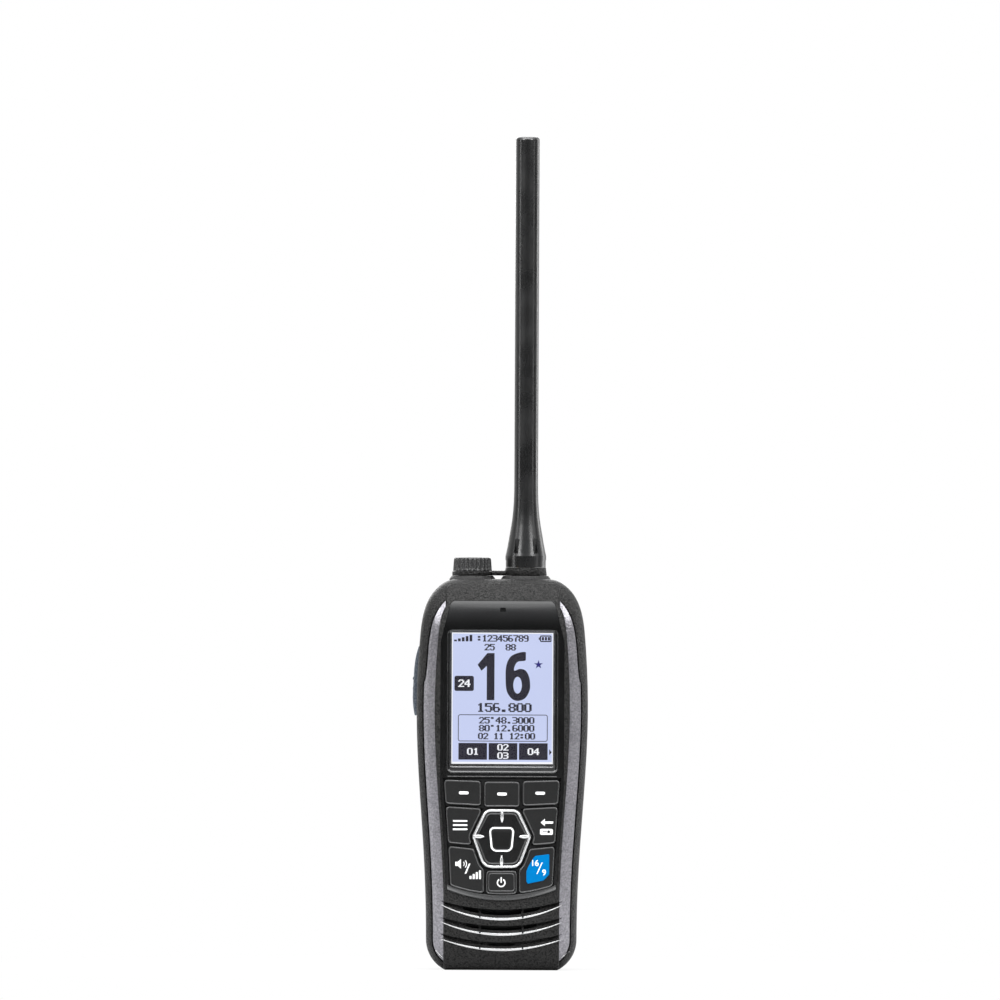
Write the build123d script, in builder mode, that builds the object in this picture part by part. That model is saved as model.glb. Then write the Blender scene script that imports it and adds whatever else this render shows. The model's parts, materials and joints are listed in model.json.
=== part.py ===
"""Handheld VHF marine radio, in millimetres.

+Z is up and the face looks along -Y. The origin lies on the stand face, under the middle of the case.
The front and rear case are cut from one rounded form, and the battery pack completes that form at the back.
"""
from build123d import *
import os
from math import asin, cos, degrees, radians, sin, sqrt

os.makedirs("parts", exist_ok=True)

# ---- Case outline, seen from the front -------------------------------------------------------
case_height = 137.0
case_half_width = 30.0
widest_height = 88.7
hip_height = 66.7
hip_taper = 0.9              # how far the side has drawn in at the hip
waist_height = 38.7
waist_taper = 2.8
foot_height = 10.7           # where the side meets the foot corner
foot_taper = 3.6
foot_corner_radius = 12.0
chest_drop = 21.3            # from the crown down to the chest
chest_taper = 1.0
shoulder_drop = 5.9
shoulder_taper = 4.8
crown_taper = 14.5
side_steps = 24              # points taken along the side when it is drawn in

# ---- Depths along y --------------------------------------------------------------------------
seam_y = -7.0                # joint of the front and rear case
face_depth = 12.0            # seam to the keypad face
bay_depth = 12.7             # seam to the floor of the battery bay
back_depth = 26.2            # seam to the back of the battery
face_y = seam_y - face_depth
bay_y = seam_y + bay_depth
back_y = seam_y + back_depth

# ---- Curves of the face ----------------------------------------------------------------------
chin_height = 30.0           # the face curves back below this height
chin_radius = 80.0
brow_drop = 19.0             # and above this distance from the crown
brow_radius = 26.0
shoulder_brow_radius = 30.0
shoulder_step = 1.0          # the deck stands this far proud of the shoulders
front_round = 8.0
back_round = 5.0
deck_inset = 6.4
deck_round = 0.8
deck_top_drop = 1.4
deck_brow_taper = 10.0       # from the widest part of the case in to the brow's side
deck_corner_radius = 3.2
chin_taper = 9.75
chin_edge_round = 4.5        # the deck's lowest edge, where the case stands on the table
brow_height = case_height - brow_drop

# ---- Walls and fits --------------------------------------------------------------------------
shell_wall = 2.6
foot_wall = 5.2              # the shell is thicker under the speaker
deep_margin = 0.3            # the deep part stays this much inside the deck's edge
face_wall = 3.5
rear_wall = 1.5
rear_inset = 0.6             # the rear case is this much slimmer all round
shelf_depth = 2.6            # seam to the shelf that carries the chassis
seat_gap = 0.05              # between pieces glued or pressed together
fit_gap = 0.15               # between a moving key and its surround
running_gap = 0.05           # radial, round a shaft
part_gap = 0.3               # between pieces that only lie close

# ---- Front panel -----------------------------------------------------------------------------
panel_inset = 7.2
panel_thickness = 1.8
panel_bed_gap = 0.1
panel_top_drop = 7.6
panel_top_taper = 11.9
panel_flare_drop = 22.0
panel_flare_taper = 8.3
panel_bottom = 24.6
panel_bottom_rise = 4.4      # the bottom edge rises this much at the sides
mic_slot_x = 0.1
mic_slot_height = 126.3
mic_slot_size = (1.9, 1.4)

# ---- Display ---------------------------------------------------------------------------------
window_half_width = 18.6
window_bottom = 69.0
window_top = 119.0
window_corner = 1.2
bezel_side = 0.55
bezel_top = 0.5
bezel_bottom = 2.4           # the wide bevel under the display
bezel_front_drop = 0.1
lens_drop = 0.75
lens_thickness = 1.0
lcd_frame_margin = 1.6
lcd_opening_gap = 0.15       # from the lens edge to the opening behind it
lcd_thickness = 3.9
lcd_glass_rise = 1.5
lcd_wall_gap = 0.3

# ---- Keypad ----------------------------------------------------------------------------------
keypad_top = 67.4
keypad_inset = 8.45
keypad_bottom = 26.3
keypad_bottom_rise = 3.6
keypad_arc_taper = 11.1
key_edge_gap = 0.45
key_rise = 0.4               # keys stand this far proud of the panel
key_edge = 0.3
key_corner = 0.8
key_mat_gap = 0.6
soft_half_width = 6.1
soft_inner_x = 7.4
soft_bottom = 57.4
soft_top = 66.0
soft_bottom_slope = 0.05
soft_top_slope = 0.03
menu_top = 56.2
menu_top_slope = 0.055
menu_bottom = 43.0
menu_bottom_slope = 0.09
corner_inner_x = 6.2
corner_top = 41.4
corner_top_slope = 0.11
power_half_width = 5.3
power_bottom = 27.0
power_top = 34.8
power_pad_margin = 0.8
power_pad_rise = 0.25
insert_left = 8.7
insert_right = 16.7
insert_low = 31.3
insert_top = 40.8
insert_rise = 0.3
insert_thickness = 0.9
insert_gap = 0.05
mat_thickness = 0.9
mat_inset = 6.8
mat_margin = 0.9
web_drop = 0.6
board_thickness = 1.0
dome_radius = 2.2
dome_height = 0.35

# ---- Direction pad ---------------------------------------------------------------------------
pad_height = 46.5            # its centre above the table
ring_top = 56.6
ring_bottom = 35.7
ring_middle = 46.9
ring_half_width = 10.5
ring_top_half = 5.9
ring_bottom_half = 6.4
ring_corner = 3.2
ring_side_corner = 1.5
ring_band = 0.95
ring_rise = 0.6
ring_depth = 1.3
ring_gap = 0.9               # from the ring to the keys round it
pad_tilt_gap = 0.35
pad_thickness = 2.4
pointer_width = 1.45
pointer_reach = 4.4
side_pointer_reach = 3.8
enter_top = 50.3
enter_bottom = 41.6
enter_top_half = 4.55
enter_bottom_half = 3.75
enter_corner = 1.5
enter_rise = 0.15
enter_lift = 0.3             # its foot stays clear of the mat when the pad tilts
pivot_radius = 8.0
pivot_inner_radius = 6.2
pivot_thickness = 0.65
pivot_gap = 0.35

# ---- Speaker louvres -------------------------------------------------------------------------
louvre_bottom = 7.5          # lowest edge of the lowest louvre
louvre_pitch = 5.4
louvre_height = 2.3
louvre_height_step = 0.35    # each louvre is taller than the one below
louvre_sag = 3.9
louvre_sag_step = 0.65
louvre_top_sag = 3.1
louvre_margin = 1.25         # the louvres run on past the sides of the chin
louvre_depth = 1.7
louvre_lip = 0.4
slot_half_widths = (4.6, 12.3, 13.4)
slot_margin = 1.0
slot_drop = 0.1
slot_post_x = 7.5
slot_post_width = 0.9
speaker_height = 15.9
speaker_size = (29.0, 15.6)
speaker_corner = 3.5
speaker_front_y = -11.6
speaker_flange = 0.8
speaker_depth = 5.0
magnet_radius = 7.5
magnet_depth = 4.0
membrane_thickness = 0.3
collar_wall = 1.0

# ---- Accent strips ---------------------------------------------------------------------------
strip_inset = 2.5
strip_groove = 0.5
strip_thickness = 1.2
strip_seat = 0.05
channel_overlap = 0.5        # how far a strip's channel is first cut under the deck
strip_tip_drop = 7.5
strip_tip_taper = 9.6
strip_cheek_drop = 14.3
strip_cheek_taper = 5.4
strip_side_drop = 21.3
strip_side_taper = 3.9
strip_body_drop = 36.0
strip_body_taper = 2.4

# ---- Inside ----------------------------------------------------------------------------------
chassis_inset = 3.2
chassis_thickness = 1.4
chassis_bottom = 27.0
chassis_top_drop = 3.4
main_board_inset = 4.2
main_board_lift = 2.6
main_board_bottom = 30.0
main_board_top_drop = 12.0
main_board_thickness = 1.2
post_radius = 1.5
board_post_x = 14.0
board_post_heights = (34.0, 110.0)
key_post_heights = (30.0, 64.0)
lcd_post_heights = (75.0, 114.0)
can_size = (24.0, 30.0)
can_height = 2.6
can_heights = (50.0, 88.0)
mic_radius = 2.2
mic_depth = 2.4
mic_lift = 3.8               # from the keypad mat's front back to the microphone's back
gps_size = 9.0
gps_depth = 2.4
gps_x = -8.8
gps_height = 125.6
seal_inset = 0.9
seal_width = 1.0
seal_height = 0.5
screw_low_taper = 8.6
screw_high_taper = 7.0
screw_heights = (14.0, 116.6)
screw_radius = 1.0
screw_length = 16.5
screw_head_radius = 1.9
screw_head_height = 1.5
screw_boss_radius = 2.4

# ---- Top fittings ----------------------------------------------------------------------------
top_y = 7.0                  # the antenna and the jack stand on this line
antenna_x = 8.0
jack_x = -10.7
boss_height = 1.1
antenna_boss_radius = 8.75
antenna_boss_top = 7.9
neck_radius = 5.0
antenna_neck_height = 2.7
jack_boss_radius = 8.1
jack_boss_top = 7.2
jack_neck_height = 3.3
socket_radius = 3.2
socket_flange_radius = 5.3
socket_flange = 2.0
jack_radius = 3.5
pin_radius = 0.45
pin_gap = 0.1
pin_length = 4.5
socket_plate = 1.2           # closed top of the antenna's connector
jack_bore_radius = 1.75
jack_bore_depth = 8.0

# ---- Antenna ---------------------------------------------------------------------------------
antenna_top = 292.2
antenna_gap = 0.35           # antenna foot above the neck
antenna_foot_radius = 7.15
antenna_foot_height = 3.9
antenna_skirt_groove = 0.15
antenna_skirt_height = 2.5
taper_low_radius = 6.05
taper_low_height = 9.6
taper_high_radius = 4.87
taper_high_height = 16.6
whip_radius = 4.18
whip_start_height = 31.0
tip_round = 1.1
flute_count = 6
flute_radius = 5.95          # floor of a flute, from the axis
flute_width = 1.7
flute_foot = 4.6
flute_length = 9.0
flute_phase = 30.0
foot_round = 0.5
connector_radius = 4.6
connector_height = 9.0
seal_ring_height = 0.8
antenna_seal_outer = 5.9
antenna_seal_inner = 3.5

# ---- Jack cap and tether ---------------------------------------------------------------------
cap_height = 6.4
cap_skirt = 1.65             # height of the plain part inside the tether ring
cap_radius = 6.85
cap_top_radius = 6.5
cap_round = 0.9
cap_flutes = 8
cap_flute_width = 2.3
cap_flute_depth = 0.5
cap_flute_phase = 20.5
cap_spigot_radius = 5.9
cap_seal_inner = 3.7
cap_seal_outer = 4.9
tether_ring_outer = 7.1
tether_ring_height = 1.5
tether_collar_foot = 7.4
tether_collar_top = 7.05
tether_collar_height = 2.8
tether_width = 6.0
tether_thickness = 1.8

# ---- Push-to-talk key ------------------------------------------------------------------------
ptt_bottom = 88.9
ptt_top = 113.4
ptt_low_y = -5.0
ptt_high_y = 2.9
ptt_proud = 1.2              # beyond the widest part of the case
ptt_inner_taper = 4.5        # from the widest part in to the key's inner face
ptt_flange_taper = 3.7
ptt_flange_lip = 1.1
ptt_travel = 1.0
ptt_top_taper = 1.8
ptt_foot_taper = 0.5
ptt_edge_round = 0.7
ptt_ridge_drops = (11.4, 14.9, 18.0)    # from the key's top edge down to each grip ridge
ptt_ridge_radius = 0.7
ptt_ridge_stand = 0.25
ptt_switch_size = (3.6, 4.6, 6.0)

# ---- Battery ---------------------------------------------------------------------------------
shelf_top = 4.6              # the case's own foot under the battery
pack_foot_gap = 0.85
pack_top_gap = 0.4
bay_top = 118.9
pack_nose = 2.0              # rounding at the top, concentric with the hinge
pack_back_wall = 1.8
pack_cavity_bottom = 20.0
lid_thickness = 1.4
lid_lip = 3.0
cell_width = 36.0
cell_count = 2
cell_gap = 1.0
lug_radius = 3.2
lug_length = 7.0
lug_x = 14.0
coin_screw_height = 12.5
coin_head_radius = 4.8
coin_head_height = 1.9
coin_shank_radius = 2.0
coin_reach = 2.2             # how far the shank enters the case
coin_bore_gap = 0.5
coin_slot_width = 1.4
coin_slot_depth = 1.0
contact_count = 3
contact_pitch = 5.0
contact_height = 26.0
contact_radius = 0.8
contact_head_radius = 1.3
contact_length = 2.6
terminal_width = 3.0
terminal_length = 6.0
terminal_thickness = 0.4

# ---- Belt clip -------------------------------------------------------------------------------
clip_axis_height = 102.0
clip_axis_stand = 5.4        # axis behind the back of the battery
clip_width = 16.0
clip_thickness = 1.8
clip_base_size = (21.0, 20.0)
clip_base_thickness = 1.5
clip_ear_thickness = 1.8
clip_barrel_radius = 2.5
clip_pin_radius = 1.2
clip_tip_height = 48.0
clip_tab_reach = 10.0
spring_half_width = 3.6
spring_wire = 0.5
spring_radius = 1.7
spring_turns = 5

# ---- Distress key ----------------------------------------------------------------------------
distress_height = 125.4
distress_key_radius = 3.0
distress_key_length = 4.6
distress_switch_y = 9.4
distress_lip = 0.6
cover_notch = (6.0, 2.4)
distress_pocket = (17.0, 11.4)
distress_pocket_depth = 2.4
cover_thickness = 1.5
cover_hinge_drop = 1.6       # from the pocket's top edge to the hinge
cover_hinge_inset = 0.7
cover_barrel_radius = 1.3
cover_pin_radius = 0.6
cover_pin_grip = 1.0
top_cavity_y = 13.0
switch_size = (4.6, 2.0, 4.6)

# ---- Levels worked out from the sizes above --------------------------------------------------
panel_bed_y = face_y + panel_thickness + panel_bed_gap
inner_face_y = face_y + face_wall
mat_back_y = inner_face_y + mat_thickness
key_foot_y = inner_face_y - key_mat_gap
key_top_y = face_y - key_rise
board_y = mat_back_y + seat_gap + dome_height
shelf_y = seam_y - shelf_depth
lcd_back_y = inner_face_y + lcd_thickness
lcd_opening_half_width = window_half_width - bezel_side + lcd_opening_gap
lcd_opening_height = window_top - window_bottom - bezel_bottom - bezel_top + 2 * lcd_opening_gap
lcd_half_width = lcd_opening_half_width + lcd_frame_margin
lcd_height = lcd_opening_height + 2 * lcd_frame_margin
lcd_middle = (window_bottom + bezel_bottom + window_top - bezel_top) / 2
mic_back_y = inner_face_y + mic_lift
screw_head_y = bay_y - screw_head_height
screw_reach = screw_length - (screw_head_y - seam_y)
enter_foot_y = key_foot_y - enter_lift
deck_top = case_height - deck_top_drop
neck_top = case_height + boss_height + antenna_neck_height
antenna_foot = neck_top + antenna_gap
jack_neck_top = case_height + boss_height + jack_neck_height
cap_foot = case_height + boss_height
cap_body_foot = cap_foot + cap_skirt
pack_bottom = shelf_top + pack_foot_gap
pack_top = bay_top - pack_top_gap
pack_y = bay_y + part_gap
hinge_y = back_y - pack_nose
hinge_z = pack_top - pack_nose
wide = 2.0 * case_half_width
chin_half_width = case_half_width - chin_taper
deck_brow_half_width = case_half_width - deck_brow_taper
louvre_half_width = chin_half_width + louvre_margin
panel_top_half_width = case_half_width - panel_top_taper
panel_flare_half_width = case_half_width - panel_flare_taper


def front_plane(y):
    """A plane at depth y that faces the user, with x to the right and local y upwards."""
    return Plane(origin=(0, y, 0), x_dir=(1, 0, 0), z_dir=(0, -1, 0))


def level_plane(x, z):
    """A level plane at height z, centred on a top fitting at x."""
    return Plane(origin=(x, top_y, z))


def save(piece, name):
    """Label a finished piece and write it to its own file."""
    piece.part.label = name
    export_step(piece.part, "parts/" + name + ".step")


# ---- Outlines, drawn once and shared ---------------------------------------------------------
with BuildLine() as side_line:
    Spline(
        (case_half_width - foot_taper, foot_height),
        (case_half_width - waist_taper, waist_height),
        (case_half_width - hip_taper, hip_height),
        (case_half_width, widest_height),
        (case_half_width - chest_taper, case_height - chest_drop),
        (case_half_width - shoulder_taper, case_height - shoulder_drop),
        (case_half_width - crown_taper, case_height),
        tangents=[(0, 1), (-1, 0)],
    )
side_curve = side_line.edges()[0]


def inset_side(inset):
    """Points along the right side and shoulder, moved straight into the case by inset."""
    points = []
    for step in range(side_steps + 1):
        place = side_curve.position_at(step / side_steps)
        along = side_curve.tangent_at(step / side_steps)
        points.append((place.X - inset * along.Y, place.Y + inset * along.X))
    return points


def case_outline(inset=0.0, base=None):
    """The whole case from the front, drawn in by inset; base sets another height for its lower edge."""
    foot = inset if base is None else base
    corner_radius = foot_corner_radius - inset
    corner_angle = degrees(asin((foot_height - foot) / corner_radius))
    corner_centre = (case_half_width - foot_taper - foot_corner_radius, foot_height)
    with BuildSketch() as outline:
        with BuildLine():
            corner = CenterArc(corner_centre, corner_radius, -corner_angle, corner_angle)
            Line((0, foot), corner @ 0)
            side = Spline(*inset_side(inset), tangents=[(0, 1), (-1, 0)])
            Line(side @ 1, (0, case_height - inset))
            mirror(about=Plane.YZ)
        make_face()
    return outline.sketch


def between(low, high):
    """A wide band between two heights, to trim an outline with."""
    with BuildSketch() as band:
        with Locations((0, (low + high) / 2)):
            Rectangle(2 * wide, high - low)
    return band.sketch


def deck_outline(grow=0.0):
    """The raised middle of the face: brow, display, keypad and chin."""
    with BuildSketch() as outline:
        add(case_outline(deck_inset - grow))
        with Locations((0, (brow_height + deck_top + grow) / 2)):
            Rectangle(2 * deck_brow_half_width + 2 * grow, deck_top + grow - brow_height)
        with Locations((0, chin_height / 2)):
            Rectangle(2 * chin_half_width + 2 * grow, chin_height)
        fillet(outline.vertices().group_by(Axis.Y)[-1], deck_corner_radius)
    return outline.sketch


def sagging_cut(half_width, low, rise):
    """Everything above an arc that is lowest in the middle."""
    with BuildSketch() as region:
        with BuildLine():
            arc = ThreePointArc((-half_width, low + rise), (0, low), (half_width, low + rise))
            Polyline(arc @ 1, (half_width, case_height), (-half_width, case_height), arc @ 0)
        make_face()
    return region.sketch


def panel_outline(gap=0.0):
    """The glossy panel round the display and the keypad."""
    panel_top = case_height - panel_top_drop - gap
    flare = case_height - panel_flare_drop
    with BuildSketch() as outline:
        add(case_outline(panel_inset + gap))
        with BuildSketch(mode=Mode.INTERSECT):
            with BuildLine():
                Polyline(
                    (0, panel_top),
                    (panel_top_half_width - gap, panel_top),
                    (panel_flare_half_width - gap, flare),
                    (case_half_width, flare - chest_drop),
                    (case_half_width, 0),
                    (0, 0),
                )
                mirror(about=Plane.YZ)
            make_face()
        bottom = panel_bottom + gap
        add(sagging_cut(panel_flare_half_width, bottom, panel_bottom_rise), mode=Mode.INTERSECT)
    return outline.sketch


def keypad_outline(gap=0.0):
    """The opening that the keys stand in."""
    arc_rise = keypad_bottom_rise * (case_half_width / (case_half_width - keypad_arc_taper)) ** 2
    with BuildSketch() as outline:
        add(case_outline(keypad_inset + gap))
        add(between(0, keypad_top - gap), mode=Mode.INTERSECT)
        add(sagging_cut(case_half_width, keypad_bottom + gap, arc_rise), mode=Mode.INTERSECT)
    return outline.sketch


def ring_outline(grow=0.0):
    """The rounded hexagon of the direction pad's bright ring."""
    with BuildSketch() as outline:
        with BuildLine():
            Polyline(
                (ring_top_half, ring_top),
                (ring_half_width, ring_middle),
                (ring_bottom_half, ring_bottom),
                (-ring_bottom_half, ring_bottom),
                (-ring_half_width, ring_middle),
                (-ring_top_half, ring_top),
                close=True,
            )
        make_face()
        side_corners = outline.vertices().filter_by(lambda corner: abs(corner.Y - ring_middle) < 0.01)
        fillet(side_corners, ring_side_corner)
        fillet(outline.vertices().filter_by(lambda corner: abs(corner.Y - ring_middle) > 3), ring_corner)
        if grow != 0:
            offset(amount=grow)
    return outline.sketch


def insert_outline():
    """The bright insert set in the lower right key."""
    with BuildSketch() as outline:
        with BuildLine():
            Polyline(
                (insert_left, insert_low),
                (insert_left + 0.5, insert_low - 0.9),
                (insert_right - 2.0, insert_low + 0.3),
                (insert_right, insert_low + 2.4),
                (insert_right, insert_top),
                (insert_left + 3.1, insert_top - 0.6),
                (insert_left + 2.1, insert_top - 1.8),
                (insert_left + 0.5, insert_top - 4.6),
                (insert_left, insert_top - 6.0),
                close=True,
            )
        make_face()
        offset(amount=-0.3)
        offset(amount=0.3)
    return outline.sketch


def enter_outline(gap=0.0):
    """The key in the middle of the direction pad."""
    with BuildSketch() as outline:
        with BuildLine():
            Polyline(
                (enter_bottom_half, enter_bottom),
                (enter_top_half, enter_top),
                (-enter_top_half, enter_top),
                (-enter_bottom_half, enter_bottom),
                close=True,
            )
        make_face()
        fillet(outline.vertices(), enter_corner)
        if gap > 0:
            offset(amount=gap)
    return outline.sketch


def sharp_corners(outline):
    """The corners where two edges meet at an angle, not where one runs smoothly into the next."""
    corners = ShapeList()
    for corner in outline.vertices():
        directions = []
        for edge in outline.edges():
            if (edge.position_at(0) - Vector(corner)).length < 0.001:
                directions.append(edge.tangent_at(0))
            if (edge.position_at(1) - Vector(corner)).length < 0.001:
                directions.append(edge.tangent_at(1))
        if abs(directions[0].dot(directions[-1])) < 0.97:
            corners.append(corner)
    return corners


def sloped_band(left, right, lower, upper, gap):
    """A field whose lower and upper edges, each a height and a slope, climb away from the middle."""
    low, low_slope = lower
    high, high_slope = upper
    with BuildSketch() as field:
        with BuildLine():
            Polyline(
                (left - gap, low - gap + low_slope * left),
                (right + gap, low - gap + low_slope * right),
                (right + gap, high + gap + high_slope * right),
                (left - gap, high + gap + high_slope * left),
                close=True,
            )
        make_face()
    return field.sketch


def key_field(name, gap):
    """The field a key is cut from, grown by gap; keys on the left mirror those on the right."""
    with BuildSketch() as field:
        if name == "soft_key_right":
            lower, upper = (soft_bottom, soft_bottom_slope), (soft_top, soft_top_slope)
            add(sloped_band(soft_inner_x, case_half_width, lower, upper, gap))
        if name == "clear_key":
            lower, upper = (menu_bottom, menu_bottom_slope), (menu_top, menu_top_slope)
            add(sloped_band(ring_bottom_half, case_half_width, lower, upper, gap))
        if name == "channel_16_key":
            add(sloped_band(corner_inner_x, case_half_width, (0, 0), (corner_top, corner_top_slope), gap))
        if name == "soft_key_middle":
            with Locations((0, (soft_bottom + soft_top) / 2)):
                Rectangle(2 * soft_half_width + 2 * gap, soft_top - soft_bottom + 2 * gap)
        if name == "power_key":
            with Locations((0, power_top / 2)):
                Rectangle(2 * power_half_width + 2 * gap, power_top + 2 * gap)
    return field.sketch


def key_outline(name, gap=0.0):
    """One key, inside the keypad opening and clear of the direction pad; square when grown by a gap."""
    with BuildSketch() as outline:
        add(key_field(name, gap))
        add(keypad_outline(key_edge_gap - gap), mode=Mode.INTERSECT)
        add(ring_outline(ring_gap - gap), mode=Mode.SUBTRACT)
        if gap == 0:
            fillet(sharp_corners(outline), key_corner)
    return outline.sketch


def mat_outline(gap=0.0):
    """The rubber mat behind the keypad opening."""
    low = keypad_bottom - mat_margin + gap
    high = keypad_top + mat_margin - gap
    with BuildSketch() as outline:
        add(case_outline(mat_inset + gap))
        add(between(low, high), mode=Mode.INTERSECT)
    return outline.sketch


def louvre_low(index):
    """Height of a louvre's lower edge in the middle."""
    return louvre_bottom + index * louvre_pitch


def louvre_high(index):
    """Height of a louvre's upper edge in the middle."""
    return louvre_low(index) + louvre_height + index * louvre_height_step


def slot_outline(index):
    """The sound slot in the upper part of one louvre, interrupted by two posts."""
    sag = louvre_sag + index * louvre_sag_step
    with BuildSketch() as outline:
        add(sagging_cut(louvre_half_width, louvre_low(index) + slot_margin, sag))
        above = sagging_cut(louvre_half_width, louvre_high(index) - slot_drop, louvre_top_sag)
        add(above, mode=Mode.SUBTRACT)
        with Locations((0, chin_height / 2)):
            Rectangle(2 * slot_half_widths[index], chin_height, mode=Mode.INTERSECT)
        with Locations((slot_post_x, chin_height / 2), (-slot_post_x, chin_height / 2)):
            Rectangle(slot_post_width, chin_height, mode=Mode.SUBTRACT)
    return outline.sketch


def speaker_outline(grow=0.0):
    """The speaker from the front."""
    with BuildSketch() as outline:
        with Locations((0, speaker_height)):
            RectangleRounded(speaker_size[0] + 2 * grow, speaker_size[1] + 2 * grow, speaker_corner + grow)
    return outline.sketch


def strip_outline(groove=0.0, deck_gap=0.0):
    """The right-hand accent strip, between the side of the case and the deck."""
    tip = (case_half_width - strip_tip_taper - groove, case_height - strip_tip_drop)
    cheek = (case_half_width - strip_cheek_taper - groove, case_height - strip_cheek_drop)
    side = (case_half_width - strip_side_taper - groove, case_height - strip_side_drop)
    body = (case_half_width - strip_body_taper - groove, case_height - strip_body_drop)
    with BuildSketch() as outline:
        add(case_outline(strip_inset - strip_groove + groove))
        with BuildSketch(mode=Mode.INTERSECT):
            with BuildLine():
                edge = Spline(tip, cheek, side, body)
                Polyline(edge @ 1, (wide, body[1]), (wide, 0), (0, 0), (0, tip[1]), edge @ 0)
            make_face()
        add(deck_outline(deck_gap), mode=Mode.SUBTRACT)
        with Locations((-wide, case_height / 2)):
            Rectangle(2 * wide, 2 * case_height, mode=Mode.SUBTRACT)
    return outline.sketch


# ---- Blocks and forms ------------------------------------------------------------------------
def prism(outline, front, back):
    """A straight block of one outline between two depths."""
    with BuildPart() as block:
        with BuildSketch(front_plane(back)):
            add(outline)
        extrude(amount=back - front)
    return block.part


def face_profile(setback, top_radius, back, foot_round):
    """The side view of the face: straight in the middle, curving back at the chin and the brow."""
    y = face_y + setback
    chin_angle = degrees(asin(chin_height / chin_radius))
    brow_angle = degrees(asin(brow_drop / top_radius))
    with BuildSketch() as profile:
        with BuildLine():
            chin = CenterArc((y + chin_radius, chin_height), chin_radius, 180, chin_angle)
            Line((y, chin_height), (y, brow_height))
            brow = CenterArc((y + top_radius, brow_height), top_radius, 180, -brow_angle)
            Polyline(brow @ 1, (back, case_height), (back, 0), chin @ 1)
        make_face()
        if foot_round > 0:
            fillet(profile.vertices().sort_by_distance(chin @ 1)[0], foot_round)
    return profile.sketch


def face_form(outline, setback, top_radius, back, foot_round=0.0):
    """An outline run back from the curved face to the depth given."""
    with BuildPart() as form:
        with BuildSketch(front_plane(back)):
            add(outline)
        extrude(amount=back - face_y + 1)
        with BuildSketch(Plane.YZ):
            add(face_profile(setback, top_radius, back, foot_round))
        extrude(amount=wide, both=True, mode=Mode.INTERSECT)
    return form.part


def front_edges(form, back, lowest=-1.0):
    """The edges round the front of a form; level ones between lowest and the brow only cross the face."""
    edges = form.edges().filter_by(lambda edge: edge.bounding_box().max.Y < back - 0.01)
    level = edges.filter_by(lambda edge: edge.bounding_box().size.Z < 0.01)
    crossing = level.filter_by(lambda edge: lowest < edge.center().Z < brow_height + 0.05)
    return ShapeList(edge for edge in edges if edge not in crossing)


def make_shoulder():
    """The rounded form of the front case, without its deck."""
    deep_back = front_round - 2
    with BuildPart() as form:
        add(face_form(case_outline(), shoulder_step, shoulder_brow_radius, deep_back))
        fillet(front_edges(form, deep_back, chin_height / 2), front_round)
        split(bisect_by=Plane(origin=(0, seam_y, 0), z_dir=(0, -1, 0)), keep=Keep.TOP)
    return form.part


def make_deck():
    """The raised middle of the face as a solid."""
    with BuildPart() as form:
        add(face_form(deck_outline(), 0, brow_radius, seam_y, chin_edge_round))
        fillet(front_edges(form, seam_y), deck_round)
    return form.part


def make_rear():
    """The form shared by the rear case and the battery pack."""
    with BuildPart() as form:
        with BuildSketch(front_plane(back_y)):
            add(case_outline(rear_inset, 0))
        extrude(amount=back_y - seam_y)
        fillet(form.faces().sort_by(Axis.Y)[-1].edges(), back_round)
    return form.part


def behind(form, depth):
    """A form pushed back into the case by depth."""
    return form.moved(Location((0, depth, 0)))


def chin_y(height):
    """Depth of the deck at a height below the straight part of the face."""
    return face_y + chin_radius - sqrt(chin_radius**2 - (chin_height - height) ** 2)


def louvre_cut(index):
    """One sunken louvre: a wedge that follows the chin and grows deeper towards its upper edge."""
    sag = louvre_sag + index * louvre_sag_step
    front = face_y - 1
    with BuildPart() as cut:
        for side in (-1, 0, 1):
            low = louvre_low(index) + abs(side) * sag
            high = louvre_high(index) + abs(side) * louvre_top_sag
            section = Plane(origin=(side * louvre_half_width, 0, 0), x_dir=(0, 1, 0), z_dir=(1, 0, 0))
            with BuildSketch(section):
                with BuildLine():
                    Polyline(
                        (chin_y(low) + louvre_lip, low),
                        (chin_y(high) + louvre_depth, high),
                        (front, high),
                        (front, low),
                        close=True,
                    )
                make_face()
        loft()
    return cut.part


def radial_planes(x, height, radius, count, first_angle):
    """Upright planes round a top fitting, facing outwards at a radius."""
    planes = []
    for index in range(count):
        turn = radians(first_angle + index * 360 / count)
        origin = (x + radius * sin(turn), top_y - radius * cos(turn), height)
        planes.append(Plane(origin=origin, x_dir=(cos(turn), sin(turn), 0), z_dir=(sin(turn), -cos(turn), 0)))
    return planes


def screw_places():
    """Where the four case screws stand, seen from the front."""
    low_x = case_half_width - screw_low_taper
    high_x = case_half_width - screw_high_taper
    low, high = screw_heights
    return [(low_x, low), (-low_x, low), (high_x, high), (-high_x, high)]


shoulder = make_shoulder()
deck = make_deck()
rear = make_rear()


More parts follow.
